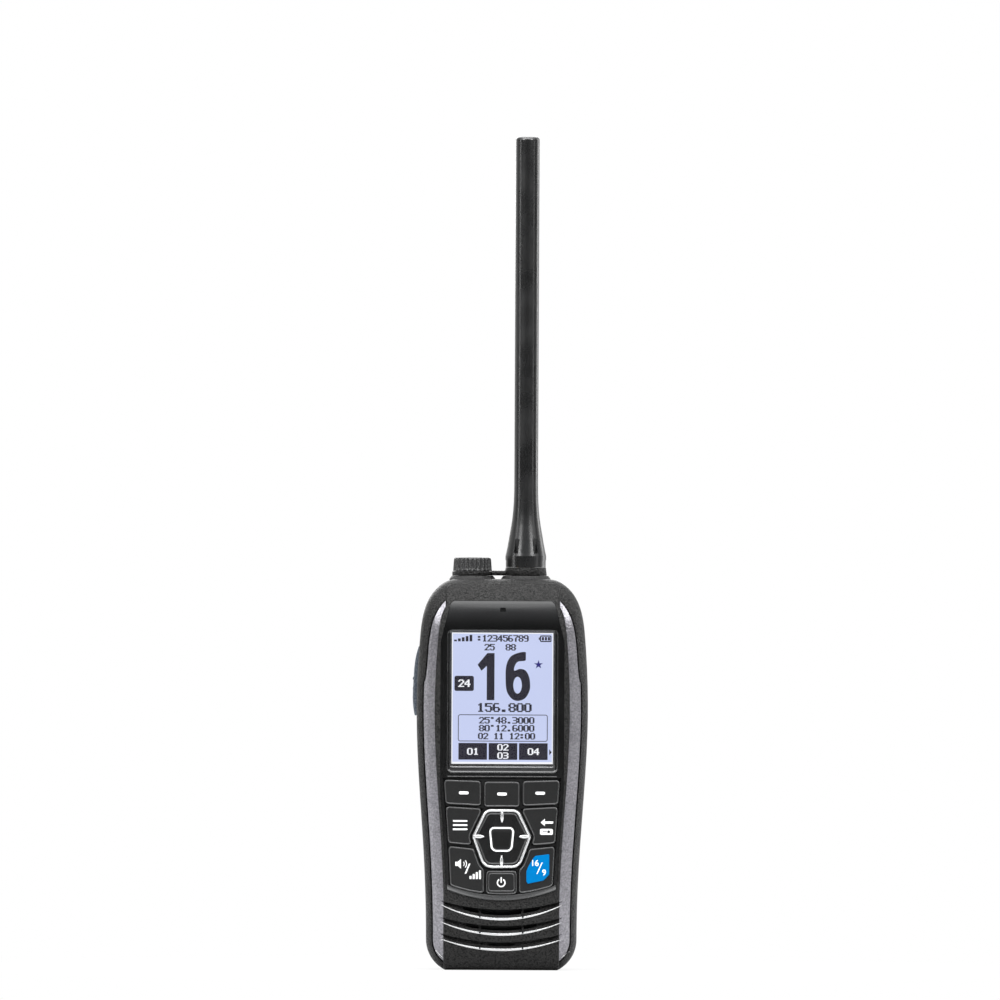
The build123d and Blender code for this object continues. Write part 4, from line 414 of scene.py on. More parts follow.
# %% [markdown]
# ## Window and display glass
#
# The window is a clear acrylic plate: a transmissive shader without roughness, and a faint noise
# in the bump so that reflections are not those of a perfect mirror. The display behind it gives its
# own light, so its colour comes from emission and hardly from the lamps.


# %% Clear plate and lit panel
def clear_plate(name):
    """Clear acrylic with a very faint waviness."""
    material, tree, shader = new_material(name)
    bumped(tree, shader, noise(tree, 60.0, 1.0), 0.002)
    shader.inputs["Base Color"].default_value = (1, 1, 1, 1)
    shader.inputs["Roughness"].default_value = 0.0
    shader.inputs["IOR"].default_value = 1.25
    shader.inputs["Transmission Weight"].default_value = 1.0
    return material


def lit(name, low, high):
    """A lit display surface; a broad noise makes the backlight slightly uneven."""
    material, tree, shader = new_material(name)
    glow = colour_range(tree, noise(tree, 45.0, 1.0), low, high)
    tree.links.new(glow, shader.inputs["Emission Color"])
    shader.inputs["Emission Strength"].default_value = 1.0
    shader.inputs["Base Color"].default_value = (0.002, 0.002, 0.003, 1)
    shader.inputs["Specular IOR Level"].default_value = 0.0
    shader.inputs["Roughness"].default_value = 0.6
    return material


finishes["window_glass"] = clear_plate("window_glass")
finishes["lcd"] = moulded("lcd", grey(0.01), grey(0.016), 0.3, 1800, 0.01)
screen_light = lit("screen_light", (0.565, 0.625, 0.88), (0.59, 0.65, 0.91))
screen_edge = lit("screen_edge", (0.90, 0.92, 1.0), (0.95, 0.96, 1.0))
screen_dark = lit("screen_dark", (0.020, 0.019, 0.030), (0.026, 0.024, 0.036))
screen_blue = lit("screen_blue", (0.022, 0.018, 0.17), (0.03, 0.025, 0.2))
print("glass and display ready")

# %% Give each solid its finish
for part in frame["record"]["subparts"]:
    solid = nodes[part["node"]]
    solid.data.materials.clear()
    solid.data.materials.append(finishes[part["material_slot"]])
nodes["jack_cap"].data.materials[0] = cap_rubber
nodes["direction_pad"].data.materials[0] = pad_gloss

# %% [markdown]
# ## The picture on the display
#
# A dot-matrix display shows characters as small square dots. Each character is written below as
# seven rows of five, and the lit dots of a whole line become thin raised boxes in a single mesh.
# Dots that lie side by side share one box, so that no faces hide inside a figure.
# A text object would be quicker, but its curves would be too smooth for a display of this kind.

# %% Dot characters
dot_rows = {
    "0": ".###. #...# #...# #...# #...# #...# .###.",
    "1": "..#.. .##.. ..#.. ..#.. ..#.. ..#.. .###.",
    "2": ".###. #...# ....# ...#. ..#.. .#... #####",
    "3": "####. ....# ....# .###. ....# ....# ####.",
    "4": "...#. ..##. .#.#. #..#. ##### ...#. ...#.",
    "5": "##### #.... ####. ....# ....# #...# .###.",
    "6": ".###. #.... #.... ####. #...# #...# .###.",
    "7": "##### ....# ...#. ..#.. ..#.. ..#.. ..#..",
    "8": ".###. #...# #...# .###. #...# #...# .###.",
    "9": ".###. #...# #...# .#### ....# ....# .###.",
    ".": "..... ..... ..... ..... ..... .##.. .##..",
    ":": "..... .##.. .##.. ..... .##.. .##.. .....",
    "*": ".##.. .##.. ..... ..... ..... ..... .....",
    " ": "..... ..... ..... ..... ..... ..... .....",
}
glass_front, print_depth = -17.0, 0.03
character_step, dot_fill = 6, 0.985


def dots(text, left, top, pitch, wide, bold):
    """Centres and sizes of a line's lit dots; wide stretches it, bold thickens upright strokes."""
    cells = np.array([[[dot == "#" for dot in row] for row in dot_rows[c].split()] for c in text])
    change = np.diff(np.pad(cells, ((0, 0), (0, 0), (1, 1))).astype(int), axis=2)
    character, row, start = np.nonzero(change == 1)
    stop = np.nonzero(change == -1)[2]
    x = left + (character * character_step + (start + stop) / 2) * pitch * wide + bold / 2
    centres = grid_points(x, glass_front - print_depth / 2, top - (row + 0.5) * pitch)
    width = (stop - start) * pitch * wide + bold
    return centres, grid_points(width, print_depth, dot_fill * pitch)


def box_print(name, groups, material, layer=0):
    """One mesh of all the boxes of several groups, lying layer print depths further out."""
    centres, sizes = [np.concatenate(arrays) for arrays in zip(*groups)]
    points, faces = box_arrays(centres - [0, layer * print_depth, 0], sizes)
    print(name, "boxes", len(centres))
    return make_piece(name, points, faces, material, "case", smooth=False)


def line_print(name, loops, material):
    """Closed lines printed on the display, filled and raised by the print's depth."""
    return filled(name, loops, glass_front - print_depth, print_depth, material, "case")


print("characters", len(dot_rows))

# %% [markdown]
# The lit panel lies on the display's glass, with a brighter line round its edge where the light
# guide shows. The dark marks stand on it: a line with signal bars and a number, the battery sign,
# the channel number in large figures with a star beside it and its frequency below, a framed block
# of three lines of figures, and dark fields with light figures on them: one left of the channel
# number and three above the soft keys.

# %% Lit panel and its edge
screen_left, screen_right, screen_low, screen_high = -17.75, 17.75, 72.3, 118.25
panel_thick, edge = 0.01, 0.35
points, faces = box_arrays([[0, glass_front - panel_thick / 2, (screen_low + screen_high) / 2]],
                           [screen_right - screen_left, panel_thick, screen_high - screen_low])
make_piece("screen_panel", points, faces, screen_light, "case", smooth=False)
edge_loops = [rounded(screen_left, screen_right, screen_low, screen_high, 0.05),
              rounded(screen_left + edge, screen_right - edge, screen_low + 2 * edge,
                      screen_high - edge, 0.05)]
filled("screen_edge_line", edge_loops, glass_front - 2 * panel_thick, panel_thick, screen_edge, "case")
print("screen", screen_right - screen_left, "by", round(screen_high - screen_low, 2), "mm")

# %% Lines of dark figures
dark_lines = [dots(":123456789", -9.0, 117.4, 0.325, 0.93, 0.31),
              dots("25  88", -6.4, 114.3, 0.325, 0.95, 0.31),
              dots("156.800", -8.9, 93.6, 0.445, 1.03, 0.4),
              dots("25*48.3000", -8.2, 88.7, 0.325, 1.0, 0.31),
              dots("80*12.6000", -8.2, 85.95, 0.325, 1.0, 0.31),
              dots("02 11 12:00", -8.5, 83.15, 0.32, 0.95, 0.31)]
box_print("screen_figures", dark_lines, screen_dark)

# %% Signal bars, battery sign, frame and dark fields
battery_x, battery_z = 15.15, 116.2
bar_low, bar_left, bar_step = 115.15, -16.5, 1.35
sign_depth = glass_front - print_depth / 2
bar_height = 0.6 + 0.42 * np.arange(5)
bars = grid_points(bar_left + bar_step * np.arange(5), sign_depth, bar_low + bar_height / 2)
charge = grid_points(battery_x - 1.05 + 1.05 * np.arange(3), sign_depth, battery_z)
box_print("screen_signs", [(bars, grid_points(0.95, print_depth, bar_height)),
                           (charge, grid_points(np.full(3, 0.75), print_depth, 1.15))], screen_dark)


def frame_loops(left, right, low, high, radius, line):
    """The outer and the inner loop of a thin rounded frame."""
    return [rounded(left, right, low, high, radius),
            rounded(left + line, right - line, low + line, high - line, max(radius - line, 0.05))]


battery_loops = frame_loops(battery_x - 2.1, battery_x + 1.95, battery_z - 1.15, battery_z + 1.15,
                            0.5, 0.4)
battery_loops.append(rounded(battery_x - 2.5, battery_x - 2.13, battery_z - 0.45, battery_z + 0.45, 0.1))
block_loops = frame_loops(-15.5, 15.9, 80.15, 89.6, 0.8, 0.26)
field_loops = [rounded(-15.3 + 10.6 * k, -5.3 + 10.62 * k, 73.75, 79.6, 0.2) for k in range(3)]
field_loops.append(rounded(-16.8, -10.0, 97.8, 103.1, 0.7))
line_print("screen_fields", battery_loops + block_loops + field_loops, screen_dark)
print("fields", len(field_loops))

# %% [markdown]
# The large channel number is drawn as outlines. The six is a smooth line through a few points for
# its outside and an ellipse for the hole in its bowl. The smooth line is worked out with a periodic
# Catmull-Rom formula, and its last stretch is left straight, which ends the stroke with a flat cut.


# %% Large figures
def smooth_loop(control, per):
    """A closed smooth line through the control points (Catmull-Rom, per steps between two points)."""
    p = np.asarray(control, float)
    before, after, beyond = np.roll(p, 1, 0), np.roll(p, -1, 0), np.roll(p, -2, 0)
    t = (np.arange(per) / per)[None, :, None]
    a, b, c, d = p[:, None], after[:, None], before[:, None], beyond[:, None]
    loop = 0.5 * (2 * a + (b - c) * t + (2 * c - 5 * a + 4 * b - d) * t**2
                  + (3 * a - c - 3 * b + d) * t**3)
    return loop.reshape(-1, 2)


one = np.array([(-2.79, 111.1), (-2.79, 94.6), (-5.49, 94.6), (-5.49, 106.6), (-7.36, 104.9),
                (-8.73, 107.0), (-5.3, 111.1)])
six_hook = np.array([(8.17, 111.4), (5.12, 111.1), (2.67, 109.7), (1.32, 106.7), (1.1, 102.3),
                     (1.51, 97.9), (3.24, 95.2), (5.45, 94.4), (7.89, 95.3), (9.35, 97.6),
                     (9.72, 99.9), (9.32, 102.8), (8.09, 105.0), (6.13, 105.6), (4.17, 105.0),
                     (4.27, 106.5), (5.38, 108.1), (8.18, 108.7)])
curve_steps = 8
six_hook = np.concatenate([smooth_loop(six_hook, curve_steps)[:-curve_steps], six_hook[-1:]])
circle = full_turn(40)
bowl = np.stack([5.3 + 1.5 * np.cos(circle), 99.9 + 2.95 * np.sin(circle)], axis=1)
channel = line_print("screen_channel", [one, six_hook, bowl], screen_dark)
star_turn = np.radians(90 + 36 * np.arange(10))
star_reach = np.where(np.arange(10) % 2 == 0, 1.65, 0.62)
star = np.stack([12.6 + star_reach * np.cos(star_turn), 107.1 + star_reach * np.sin(star_turn)], axis=1)
line_print("screen_star", [star], screen_blue)
line_print("screen_arrow", [np.array([(16.5, 75.4), (17.35, 76.45), (16.5, 77.5)])], screen_dark)
print("channel number points", len(channel.data.vertices))

# %% Light figures on the dark fields
light_lines = [dots("24", -15.5, 101.8, 0.37, 1.0, 0.28), dots("01", -12.3, 77.85, 0.34, 1.05, 0.26),
               dots("02", -1.7, 79.25, 0.32, 1.05, 0.26), dots("03", -1.7, 76.35, 0.32, 1.05, 0.26),
               dots("04", 8.9, 77.85, 0.34, 1.05, 0.26)]
box_print("screen_light_figures", light_lines, screen_edge, layer=1)

# %% [markdown]
# ## Key legends
#
# The legends are printed in white on the keys, so they are shallow raised shapes a few hundredths
# of a millimetre thick, and each one rides on its own key. The legends are plain signs: a dash on
# each soft key, three bars for the menu, an arrow for clear with a lock sign under it, a
# loudspeaker and bars for the levels, a power sign, and the two channel numbers on the bright key.

# %% White print
white_print = moulded("white_print", grey(0.92), grey(0.97), 0.5, 4200, 0.004, shine=0.3)
key_top, power_top, insert_top, legend_depth = -19.4, -19.65, -19.7, 0.03


def legend(name, loops, body, top=key_top):
    """Printed loops on a key whose face is at depth top."""
    return filled(name, loops, top - legend_depth, legend_depth, white_print, body)


soft_keys = (("soft_key_left", -13.35, 62.15), ("soft_key_middle", 0.05, 61.8),
             ("soft_key_right", 13.4, 62.15))
for name, x, z in soft_keys:
    legend(name + "_dash", [rounded(x - 1.7, x + 1.7, z - 0.52, z + 0.52, 0.5)], name + "_body")
menu_bars = [rounded(-17.1, -12.0, z - 0.3, z + 0.3, 0.28) for z in (52.3, 50.85, 49.4)]
legend("menu_bars", menu_bars, "menu_key_body")
arrow = np.array([(13.6, 51.9), (15.1, 53.2), (15.1, 52.3), (18.0, 52.3), (18.0, 51.5), (15.1, 51.5),
                  (15.1, 50.6)])
badge = [rounded(13.4, 17.9, 47.6, 49.7, 0.5), rounded(15.95, 16.95, 48.15, 49.15, 0.48),
         rounded(14.3, 15.85, 48.5, 48.8, 0.12)]
legend("clear_arrow", [arrow], "clear_key_body")
legend("lock_badge", badge, "clear_key_body")
print("legend height over the key", legend_depth, "mm")


# %% Levels, power and the bright key
def open_ring(x, z, inner, outer, first, last, steps):
    """A piece of a flat ring between two radii, from the first angle to the last."""
    return np.concatenate([arc(x, z, outer, first, last, steps), arc(x, z, inner, last, first, steps)])


speaker_sign = np.array([(-16.2, 38.0), (-15.3, 38.0), (-14.2, 39.0), (-14.2, 35.6), (-15.3, 36.6),
                         (-16.2, 36.6)])
slash = np.array([(-12.9, 33.9), (-12.35, 33.9), (-10.9, 37.4), (-11.45, 37.4)])
level_bars = [rounded(-11.2 + 1.1 * k, -10.5 + 1.1 * k, 32.0, 33.1 + 0.65 * k, 0.1) for k in range(4)]
waves = [open_ring(-14.1, 37.3, radius, radius + 0.28, -42, 42, 10) for radius in (0.9, 1.7)]
legend("level_signs", [speaker_sign, slash] + level_bars + waves, "volume_squelch_key_body")
power_ring = open_ring(-0.1, 30.75, 1.1, 1.55, 122, 418, 30)
legend("power_sign", [power_ring, rounded(-0.32, 0.12, 30.7, 32.75, 0.2)], "power_key_body", power_top)


def printed_text(name, text, size, at, body, top, bold):
    """Plain figures as a text object made into a thin mesh; bold widens their strokes."""
    writing = bpy.data.curves.new(name, "FONT")
    writing.body, writing.size, writing.extrude, writing.offset = text, size, legend_depth / 2, bold
    writing.align_x, writing.align_y = "CENTER", "CENTER"
    return upright(name, writing, top - legend_depth / 2, white_print, body, at)


printed_text("channel_sixteen", "16", 2.9, (11.6, 37.6), "channel_16_key_body", insert_top, 0.05)
printed_text("channel_nine", "9", 2.9, (14.9, 34.3), "channel_16_key_body", insert_top, 0.04)
legend("channel_slash", [np.array([(12.2, 33.9), (12.6, 33.9), (14.4, 37.9), (14.0, 37.9)])],
       "channel_16_key_body", insert_top)
print("signs on the lower keys done")

# %% [markdown]
# ## The enter key's outline
#
# A white line runs round the top of the enter key, and the field inside it stands a little proud.
# The line is a band between two rounded outlines; the raised field is the same outline drawn in.


# %% Enter outline
def taper_loop(top_half, bottom_half, low, high, radius):
    """A rounded outline whose half width grows evenly from the bottom to the top."""
    core = rounded(-top_half, top_half, low, high, radius)
    share = (core[:, 1] - low) / (high - low)
    width = bottom_half + (top_half - bottom_half) * share
    return np.stack([np.sign(core[:, 0]) * (np.abs(core[:, 0]) - top_half + width), core[:, 1]], axis=1)


enter_face = -19.45
legend("enter_outline", [taper_loop(4.5, 3.7, 41.62, 50.25, 1.9), taper_loop(3.88, 3.08, 42.24, 49.63, 1.3)],
       "enter_key_body", enter_face)


def pillow(name, outer, top, rise, material, body):
    """A crowned field: a share s of the way to its middle the height is rise*(1-(1-1.02*s)^6)."""
    share = np.array([0.0, 0.02, 0.05, 0.1, 0.16, 0.24, 0.36, 0.55, 0.8, 0.98])
    x, z = between(outer, outer.mean(axis=0), share)
    points = grid_points(x, top - rise * (1 - (1 - share * 1.02) ** 6), z)
    return make_piece(name, points, capped_faces(len(outer), len(share)), material, body)


pillow("enter_field", taper_loop(3.3, 2.62, 42.85, 49.05, 1.0), enter_face + 0.02, 0.22, enter_rubber,
       "enter_key_body")
print("enter outline done")

# %% [markdown]
# ## The direction ring
#
# The ring round the direction pad is a bright moulded band with a soft, domed section. The solid
# stands for it with a flat one. Here its outline is a rounded hexagon and its section a dome a
# little fuller than half an ellipse, carried round as a grid: one row per point of the outline, one
# column per point of the section. A finer bead runs inside it, and four studs reach inwards. That
# bead is the dark pad's edge made in light satin metal: a painted highlight.


# %% Ring grid
def hexagon_loop(inset, count=240):
    """The rounded six-sided outline of the ring, drawn in by inset, with evenly spaced points."""
    corners = np.array([(5.9, 56.6), (-5.9, 56.6), (-10.5, 46.9), (-6.4, 35.7), (6.4, 35.7), (10.5, 46.9)])
    radii = np.array([3.4, 3.4, 1.8, 4.3, 4.3, 1.8])
    loop = []
    for here, before, after, radius in zip(corners, np.roll(corners, 1, 0), np.roll(corners, -1, 0), radii):
        a, b = [(end - here) / np.linalg.norm(end - here) for end in (before, after)]
        half = np.arccos(a @ b) / 2
        centre = here + (a + b) / np.linalg.norm(a + b) * radius / np.sin(half)
        start, stop = [here + side * radius / np.tan(half) - centre for side in (a, b)]
        first, last = np.arctan2(start[1], start[0]), np.arctan2(stop[1], stop[0])
        sweep = (last - first + np.pi) % (2 * np.pi) - np.pi
        turn = first + sweep * np.linspace(0, 1, 14)
        loop.append(centre + max(radius - inset, 0.3) * np.stack([np.cos(turn), np.sin(turn)], axis=1))
    return even_points(np.concatenate(loop), count)


def band(name, inset, width, foot, crest, material, body, around=10):
    """A domed band along the ring: its depth goes from foot to crest as sin(t)^0.8."""
    path = hexagon_loop(inset + width / 2)
    turn = np.linspace(0, np.pi, around)
    depth = foot + (crest - foot) * np.sin(turn) ** 0.8
    points = swept(path, side_vectors(path), width / 2 * np.cos(turn), depth)
    return make_piece(name, points, grid_faces(len(path), around, True, True), material, body)


ring_outer = band("ring_band", 0.0, 1.22, -18.3, -19.62, finishes["ring_metal"], "pad")
# Painted highlight: the pad's dark edge as a bead of light satin metal.
ring_inner = band("ring_bead", 1.45, 0.6, -18.9, -19.46, painted_highlight_satin, "pad")
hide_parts("direction_ring")
print("ring points", len(ring_outer.data.vertices))


# %% Pointed studs
stud_foot, stud_rise = -19.25, 0.42


def stud(name, root, tip, width, steps=24, around=12):
    """A stud like half a grain of rice: its half width is w/2*sin(pi*t)^0.6, from the root to the tip."""
    t = np.linspace(0.01, 0.99, steps)[:, None]
    path = np.array(root) + np.subtract(tip, root) * t
    half = width / 2 * np.sin(np.pi * t) ** 0.6
    turn = np.linspace(0, np.pi, around)
    depth = stud_foot - stud_rise * np.sin(turn) * (half / half.max())
    points = swept(path, square_to(root, tip), half * np.cos(turn), depth)
    piece = make_piece(name, points, tube_faces(steps, around, True), finishes["ring_metal"], "pad")
    return piece


studs = [stud("ring_stud_top", (0.1, 56.0), (0.1, 51.7), 1.25),
         stud("ring_stud_low", (0.0, 36.1), (0.0, 40.4), 1.25),
         stud("ring_stud_left", (-10.0, 46.9), (-6.0, 46.9), 1.3),
         stud("ring_stud_right", (10.0, 46.9), (6.0, 46.9), 1.3)]
print("studs", len(studs))

# %% [markdown]
# ## Rims of the keys
#
# Each key has a small raised rim, and light from above draws a bright line along it. The bead
# that stands for the rim is a light satin metal, much lighter than the key, so its bright line is
# partly painted highlight. The rim follows the outline of the key's face, which the solid already
# has: the triangles at the depth of the face are taken from a merged copy of its mesh, and the
# edges that belong to only one of them are its outline. An oval bead is then carried along that line.


# %% Outline of a face and a bead along it
def face_outlines(node, depth, slack=0.03):
    """Closed x-z lines round the triangles of a solid that lie at one depth (millimetres)."""
    mesh = nodes[node].data
    corners = np.zeros(len(mesh.loops), int)
    mesh.loops.foreach_get("vertex_index", corners)
    merged, same = np.unique(np.round(vertex_points(mesh) / mm, 3), axis=0, return_inverse=True)
    triangles = same.ravel()[corners].reshape(-1, 3)
    triangles = triangles[(np.abs(merged[triangles][:, :, 1] - depth) < slack).all(axis=1)]
    edges = triangles[:, [0, 1, 1, 2, 2, 0]].reshape(-1, 2)
    key, back = edges[:, 0] * len(merged) + edges[:, 1], edges[:, 1] * len(merged) + edges[:, 0]
    follow = dict(edges[~np.isin(key, back)].tolist())
    loops = []
    while follow:
        start = next(iter(follow))
        line, here = [], start
        while here in follow:
            line.append(here)
            here = follow.pop(here)
        loops.append(merged[line][:, [0, 2]])
    return [loop for loop in loops if len(loop) > 3]


def longest_outline(node, depth):
    """The line with the greatest reach round the face of a solid at one depth."""
    return max(face_outlines(node, depth), key=lambda loop: np.ptp(loop, axis=0).sum())


def eased(line, times=8):
    """The same closed line with softer corners: each point moves to (before + 2*itself + after)/4."""
    for _ in range(times):
        line = (np.roll(line, 1, 0) + 2 * line + np.roll(line, -1, 0)) / 4
    return line


def bead(name, loop, depth, width, rise, material, body, inset=0.0, around=12, spacing=0.2):
    """An oval bead along a closed line: across = w/2*cos(t), height = rise*sin(t), 0.4 of it below.

    A rise under zero turns the bead to face +Y; inset moves it inwards from the line.
    """
    path = eased(even_points(loop, spacing=spacing))
    area = (path[:, 0] * np.roll(path[:, 1], -1) - np.roll(path[:, 0], -1) * path[:, 1]).sum()
    turn = full_turn(around)
    height = rise * np.sin(turn) * np.where(np.sin(turn) > 0, 1, 0.4)
    outwards = side_vectors(path) * np.sign(area)
    points = swept(path, outwards, width / 2 * np.cos(turn) - inset, depth - height)
    faces = grid_faces(len(path), around, True, True)
    return make_piece(name, points, faces[:, ::-1] if area * rise < 0 else faces, material, body)


rim_sink = 0.06
rimmed = ("soft_key_left", "soft_key_middle", "soft_key_right", "menu_key", "clear_key",
          "volume_squelch_key", "power_key", "channel_16_key")
# Painted highlight: the rim beads, the power key's inner one too, are light satin metal on dark keys.
for node in rimmed:
    outline = longest_outline(node, key_top)
    bead(node + "_rim", outline, key_top + rim_sink, 0.5, 0.2, painted_highlight_satin, node + "_body", inset=-0.14)
    print(node, "face", np.round(np.ptp(outline, axis=0), 2), "mm")
bead("power_key_inner_rim", longest_outline("power_key", power_top), power_top + rim_sink, 0.42, 0.16,
     painted_highlight_satin, "power_key_body", inset=0.05)

# %% Dark cloth behind the microphone slot
mic_x, mic_z, mic_back = 0.1, 126.3, -17.0
filled("mic_cloth", [rounded(mic_x - 1.2, mic_x + 1.2, mic_z - 0.9, mic_z + 0.9, 0.1)], mic_back, 0.1,
       finishes["cone"], "case")
print("cloth at", mic_x, mic_z)

# %% [markdown]
# ## The frame round the display
#
# The display sits in a slim frame. Its lower side is a broad bevel that faces up, its sides and top
# are narrow. The frame is the surface between two rounded rectangles with the same number of
# points: it rises at once from the panel at its outer line and then slopes down to the window, and
# a flat back closes it.

# %% Display frame
frame_outer = rounded(-19.35, 19.55, 69.05, 119.25, 1.9, 12)
frame_inner = rounded(-17.95, 17.95, 71.5, 118.6, 0.5, 12)
frame_share = np.array([0.0, 0.02, 0.06, 0.12, 0.2, 0.26, 0.34, 0.7, 0.78, 0.84, 0.9, 0.96, 1.0, 1.0,
                        1.0, 0.0])
frame_depth = np.array([-18.98, -19.1, -19.19, -19.22, -19.12, -18.98, -18.93, -18.76, -18.76, -18.72,
                        -18.58, -18.42, -18.36, -18.2, -18.1, -18.1])
x, z = between(frame_outer, frame_inner, frame_share)
frame_piece = make_piece("display_frame", grid_points(x, frame_depth, z),
                         grid_faces(len(frame_outer), len(frame_share), True, True),
                         finishes["bezel_grey"], "case")
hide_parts("display_bezel")
print("frame points", len(frame_piece.data.vertices))

# %% [markdown]
# ## Polished lips under the louvres
#
# Each louvre ends below in a bright lip that sags in the middle and thins out over the accent
# strips. Along the lip x runs from side to side; its height is an arc, its width and rise shrink
# towards the ends, and it lies on the chin, whose depth follows from its own radius. The section
# is a flat dome closed below, so the lip is a grid of one row per step in x and one column per
# step round the section.

# %% The chin's depth and the lips
face_y, chin_start, chin_radius = -19.0, 30.0, 80.0
louvres, louvre_half, louvre_low, louvre_step = range(3), 21.5, 7.5, 5.4
sag_low, sag_step, lip_drop = 3.9, 0.65, 0.35
lip_reach, lip_rise, lip_sink, lip_thin, lip_swell = 21.2, 0.22, 0.05, 0.24, 0.66
strip_edge, strip_run, strip_step = 19.95, 0.6, 0.9


def chin_depth(z):
    """Depth of the chin: the face is straight above 30 mm and follows an 80 mm arc below."""
    drop = np.clip(chin_start - z, 0, None)
    return face_y + chin_radius - np.sqrt(chin_radius**2 - drop**2)


def louvre_line(index, x):
    """Height of a louvre's lip at x: an arc whose radius is (half^2 + sag^2)/(2*sag)."""
    low, sag = louvre_low + louvre_step * index, sag_low + sag_step * index
    radius = (louvre_half**2 + sag**2) / (2 * sag)
    return low - lip_drop + radius - np.sqrt(radius**2 - x**2)


def louvre_lip(index, steps=121, around=16):
    """One lip: 0.9 mm wide in the middle, narrower as 1-|s|^1.6, and running out at both ends."""
    s = np.linspace(-1, 1, steps)[:, None]
    x = lip_reach * s
    turn = full_turn(around)
    width = lip_thin + lip_swell * (1 - np.abs(s) ** 1.6)
    fade = np.clip((1.001 - np.abs(s)) / 0.06, 0, 1) ** 0.5
    z = louvre_line(index, x) + width / 2 * fade * np.cos(turn)
    dome = lip_rise * fade * np.sin(turn) * np.where(np.sin(turn) > 0, 1, 1.6)
    onto_strip = np.clip((np.abs(x) - strip_edge) / strip_run, 0, 1) * strip_step
    points = grid_points(x, chin_depth(z) + onto_strip - dome + lip_sink, z)
    piece = make_piece(f"louvre_lip_{index}", points, tube_faces(steps, around, True),
                       finishes["ring_metal"], "case")
    return piece


lips = [louvre_lip(index) for index in louvres]
print("lips", len(lips))

# %% Posts across the louvres
post_x, post_half = 7.5, 0.28
for index in louvres:
    z = float(louvre_line(index, post_x))
    posts = [rounded(x - post_half, x + post_half, z - 0.15, z + 1.6, 0.22) for x in (-post_x, post_x)]
    filled(f"louvre_posts_{index}", posts, float(chin_depth(z)) - 0.3, 0.7, finishes["key_rubber"], "case")
print("posts", 2 * len(louvres))

# %% [markdown]
# Where each accent strip ends at the foot, the bevel beside it catches the light in a short line.
# That line is painted: a bright metal bead on the dark bevel, a painted highlight.
# The line has to lie on the solids, so its depth is found with a ray from the front at each step.

# %% Lines at the strips' ends
ray_start = -0.1


def shell_depth(x, z):
    """The depth in millimetres of the first solid that a ray from the front meets at (x, z)."""
    hits = [nodes[name].ray_cast((x * mm, ray_start, z * mm), (0, 1, 0))
            for name in ("front_case", "accent_strip_left", "accent_strip_right")]
    return min(hit[1][1] for hit in hits if hit[0]) / mm


def painted_highlight_line(name, start, stop, width=0.42, rise=0.16, steps=24, around=8):
    """A painted highlight: a bright bead on the shell from start to stop (x, z), thinning to both ends as
    the root of a sine.
    """
    t = np.linspace(0.02, 0.98, steps)[:, None]
    path = np.array(start) + np.subtract(stop, start) * t
    depth = np.array([shell_depth(x, z) for x, z in path])
    depth = np.convolve(np.pad(depth, 2, "edge"), np.full(5, 0.2), "valid")[:, None]
    turn, size = full_turn(around), np.sqrt(np.sin(np.pi * t))
    across = width / 2 * size * np.cos(turn)
    points = swept(path, square_to(start, stop), across, depth - rise * size * np.sin(turn))
    return make_piece(name, points, tube_faces(steps, around, True), finishes["ring_metal"], "case")


# Painted highlights: bright metal beads where the dark bevels catch the light.
painted_highlight_line("strip_end_highlight_left", (-23.0, 6.9), (-20.3, 4.2))
painted_highlight_line("strip_end_highlight_right", (24.0, 6.7), (20.9, 4.4))
print("strip ends at depth", round(shell_depth(-21.5, 5.4), 2), round(shell_depth(22.4, 5.5), 2))

# %% [markdown]
# ## The sill under the keypad
#
# The panel ends below the keys in a curved sill: a bevel that faces up between two fine ridges.
# The bevel is the black panel's own, made in a lighter satin metal so that it shows as a bright
# band: a painted sheen.
# It is carried along an arc, like the lips, with a section given as offsets across and outwards.


# %% Sill
def arc_bar(name, upper, lower, reach, section, material, body, steps=121):
    """A bar between two arcs, each given by its height in the middle and at its ends.

    The height changes as the square of x; the section's points are (share from upper to lower, rise).
    """
    x = np.linspace(-reach, reach, steps)[:, None]
    high, low = [middle + (end - middle) * (x / reach) ** 2 for middle, end in (upper, lower)]
    part, rise = np.asarray(section, float).T
    z = high + (low - high) * part
    points = grid_points(x, chin_depth(z) - rise, z)
    return make_piece(name, points, tube_faces(steps, len(part), True), material, body)


sill_section = [(0.0, -0.1), (0.0, 0.08), (0.06, 0.13), (0.14, 0.1), (0.2, 0.0), (0.34, 0.02), (0.86, 0.58),
                (0.94, 0.62), (1.0, 0.5), (1.0, -0.1)]
# Painted sheen: the sill's lighter satin stands in for light that the black bevel reflects.
sill = arc_bar("keypad_sill", (26.4, 29.95), (24.55, 28.35), 19.0, sill_section, sill_painted_sheen, "case")
print("sill points", len(sill.data.vertices))

# %% Step line over the soft keys
step_section = [(0.0, -0.1), (0.0, 0.02), (0.25, 0.13), (0.6, 0.15), (1.0, 0.04), (1.0, -0.1)]
# Painted highlight: the step's edge as a line of light satin metal on the black panel.
arc_bar("panel_step", (68.08, 68.08), (67.72, 67.72), 19.2, step_section, painted_highlight_satin, "case")
print("step line over the soft keys")

# %% [markdown]
# ## The seal between case and battery
#
# The battery lies on the case with a narrow gap, which a soft rubber bead fills all round, so that
# no light and no spray gets through. The bead follows the outline of the bay's floor, read from
# the solid as the rims of the keys are, and it rises towards the battery.

# %% Bay seal
bay_floor, bay_gap = 5.7, 0.3
floor_line = longest_outline("rear_case", bay_floor)
bead("bay_seal", floor_line, bay_floor, 1.1, -(bay_gap - 0.01), finishes["seal"], "case", inset=1.3,
     around=8, spacing=0.9)
print("seal", np.round(np.ptp(floor_line, axis=0), 1), "mm")

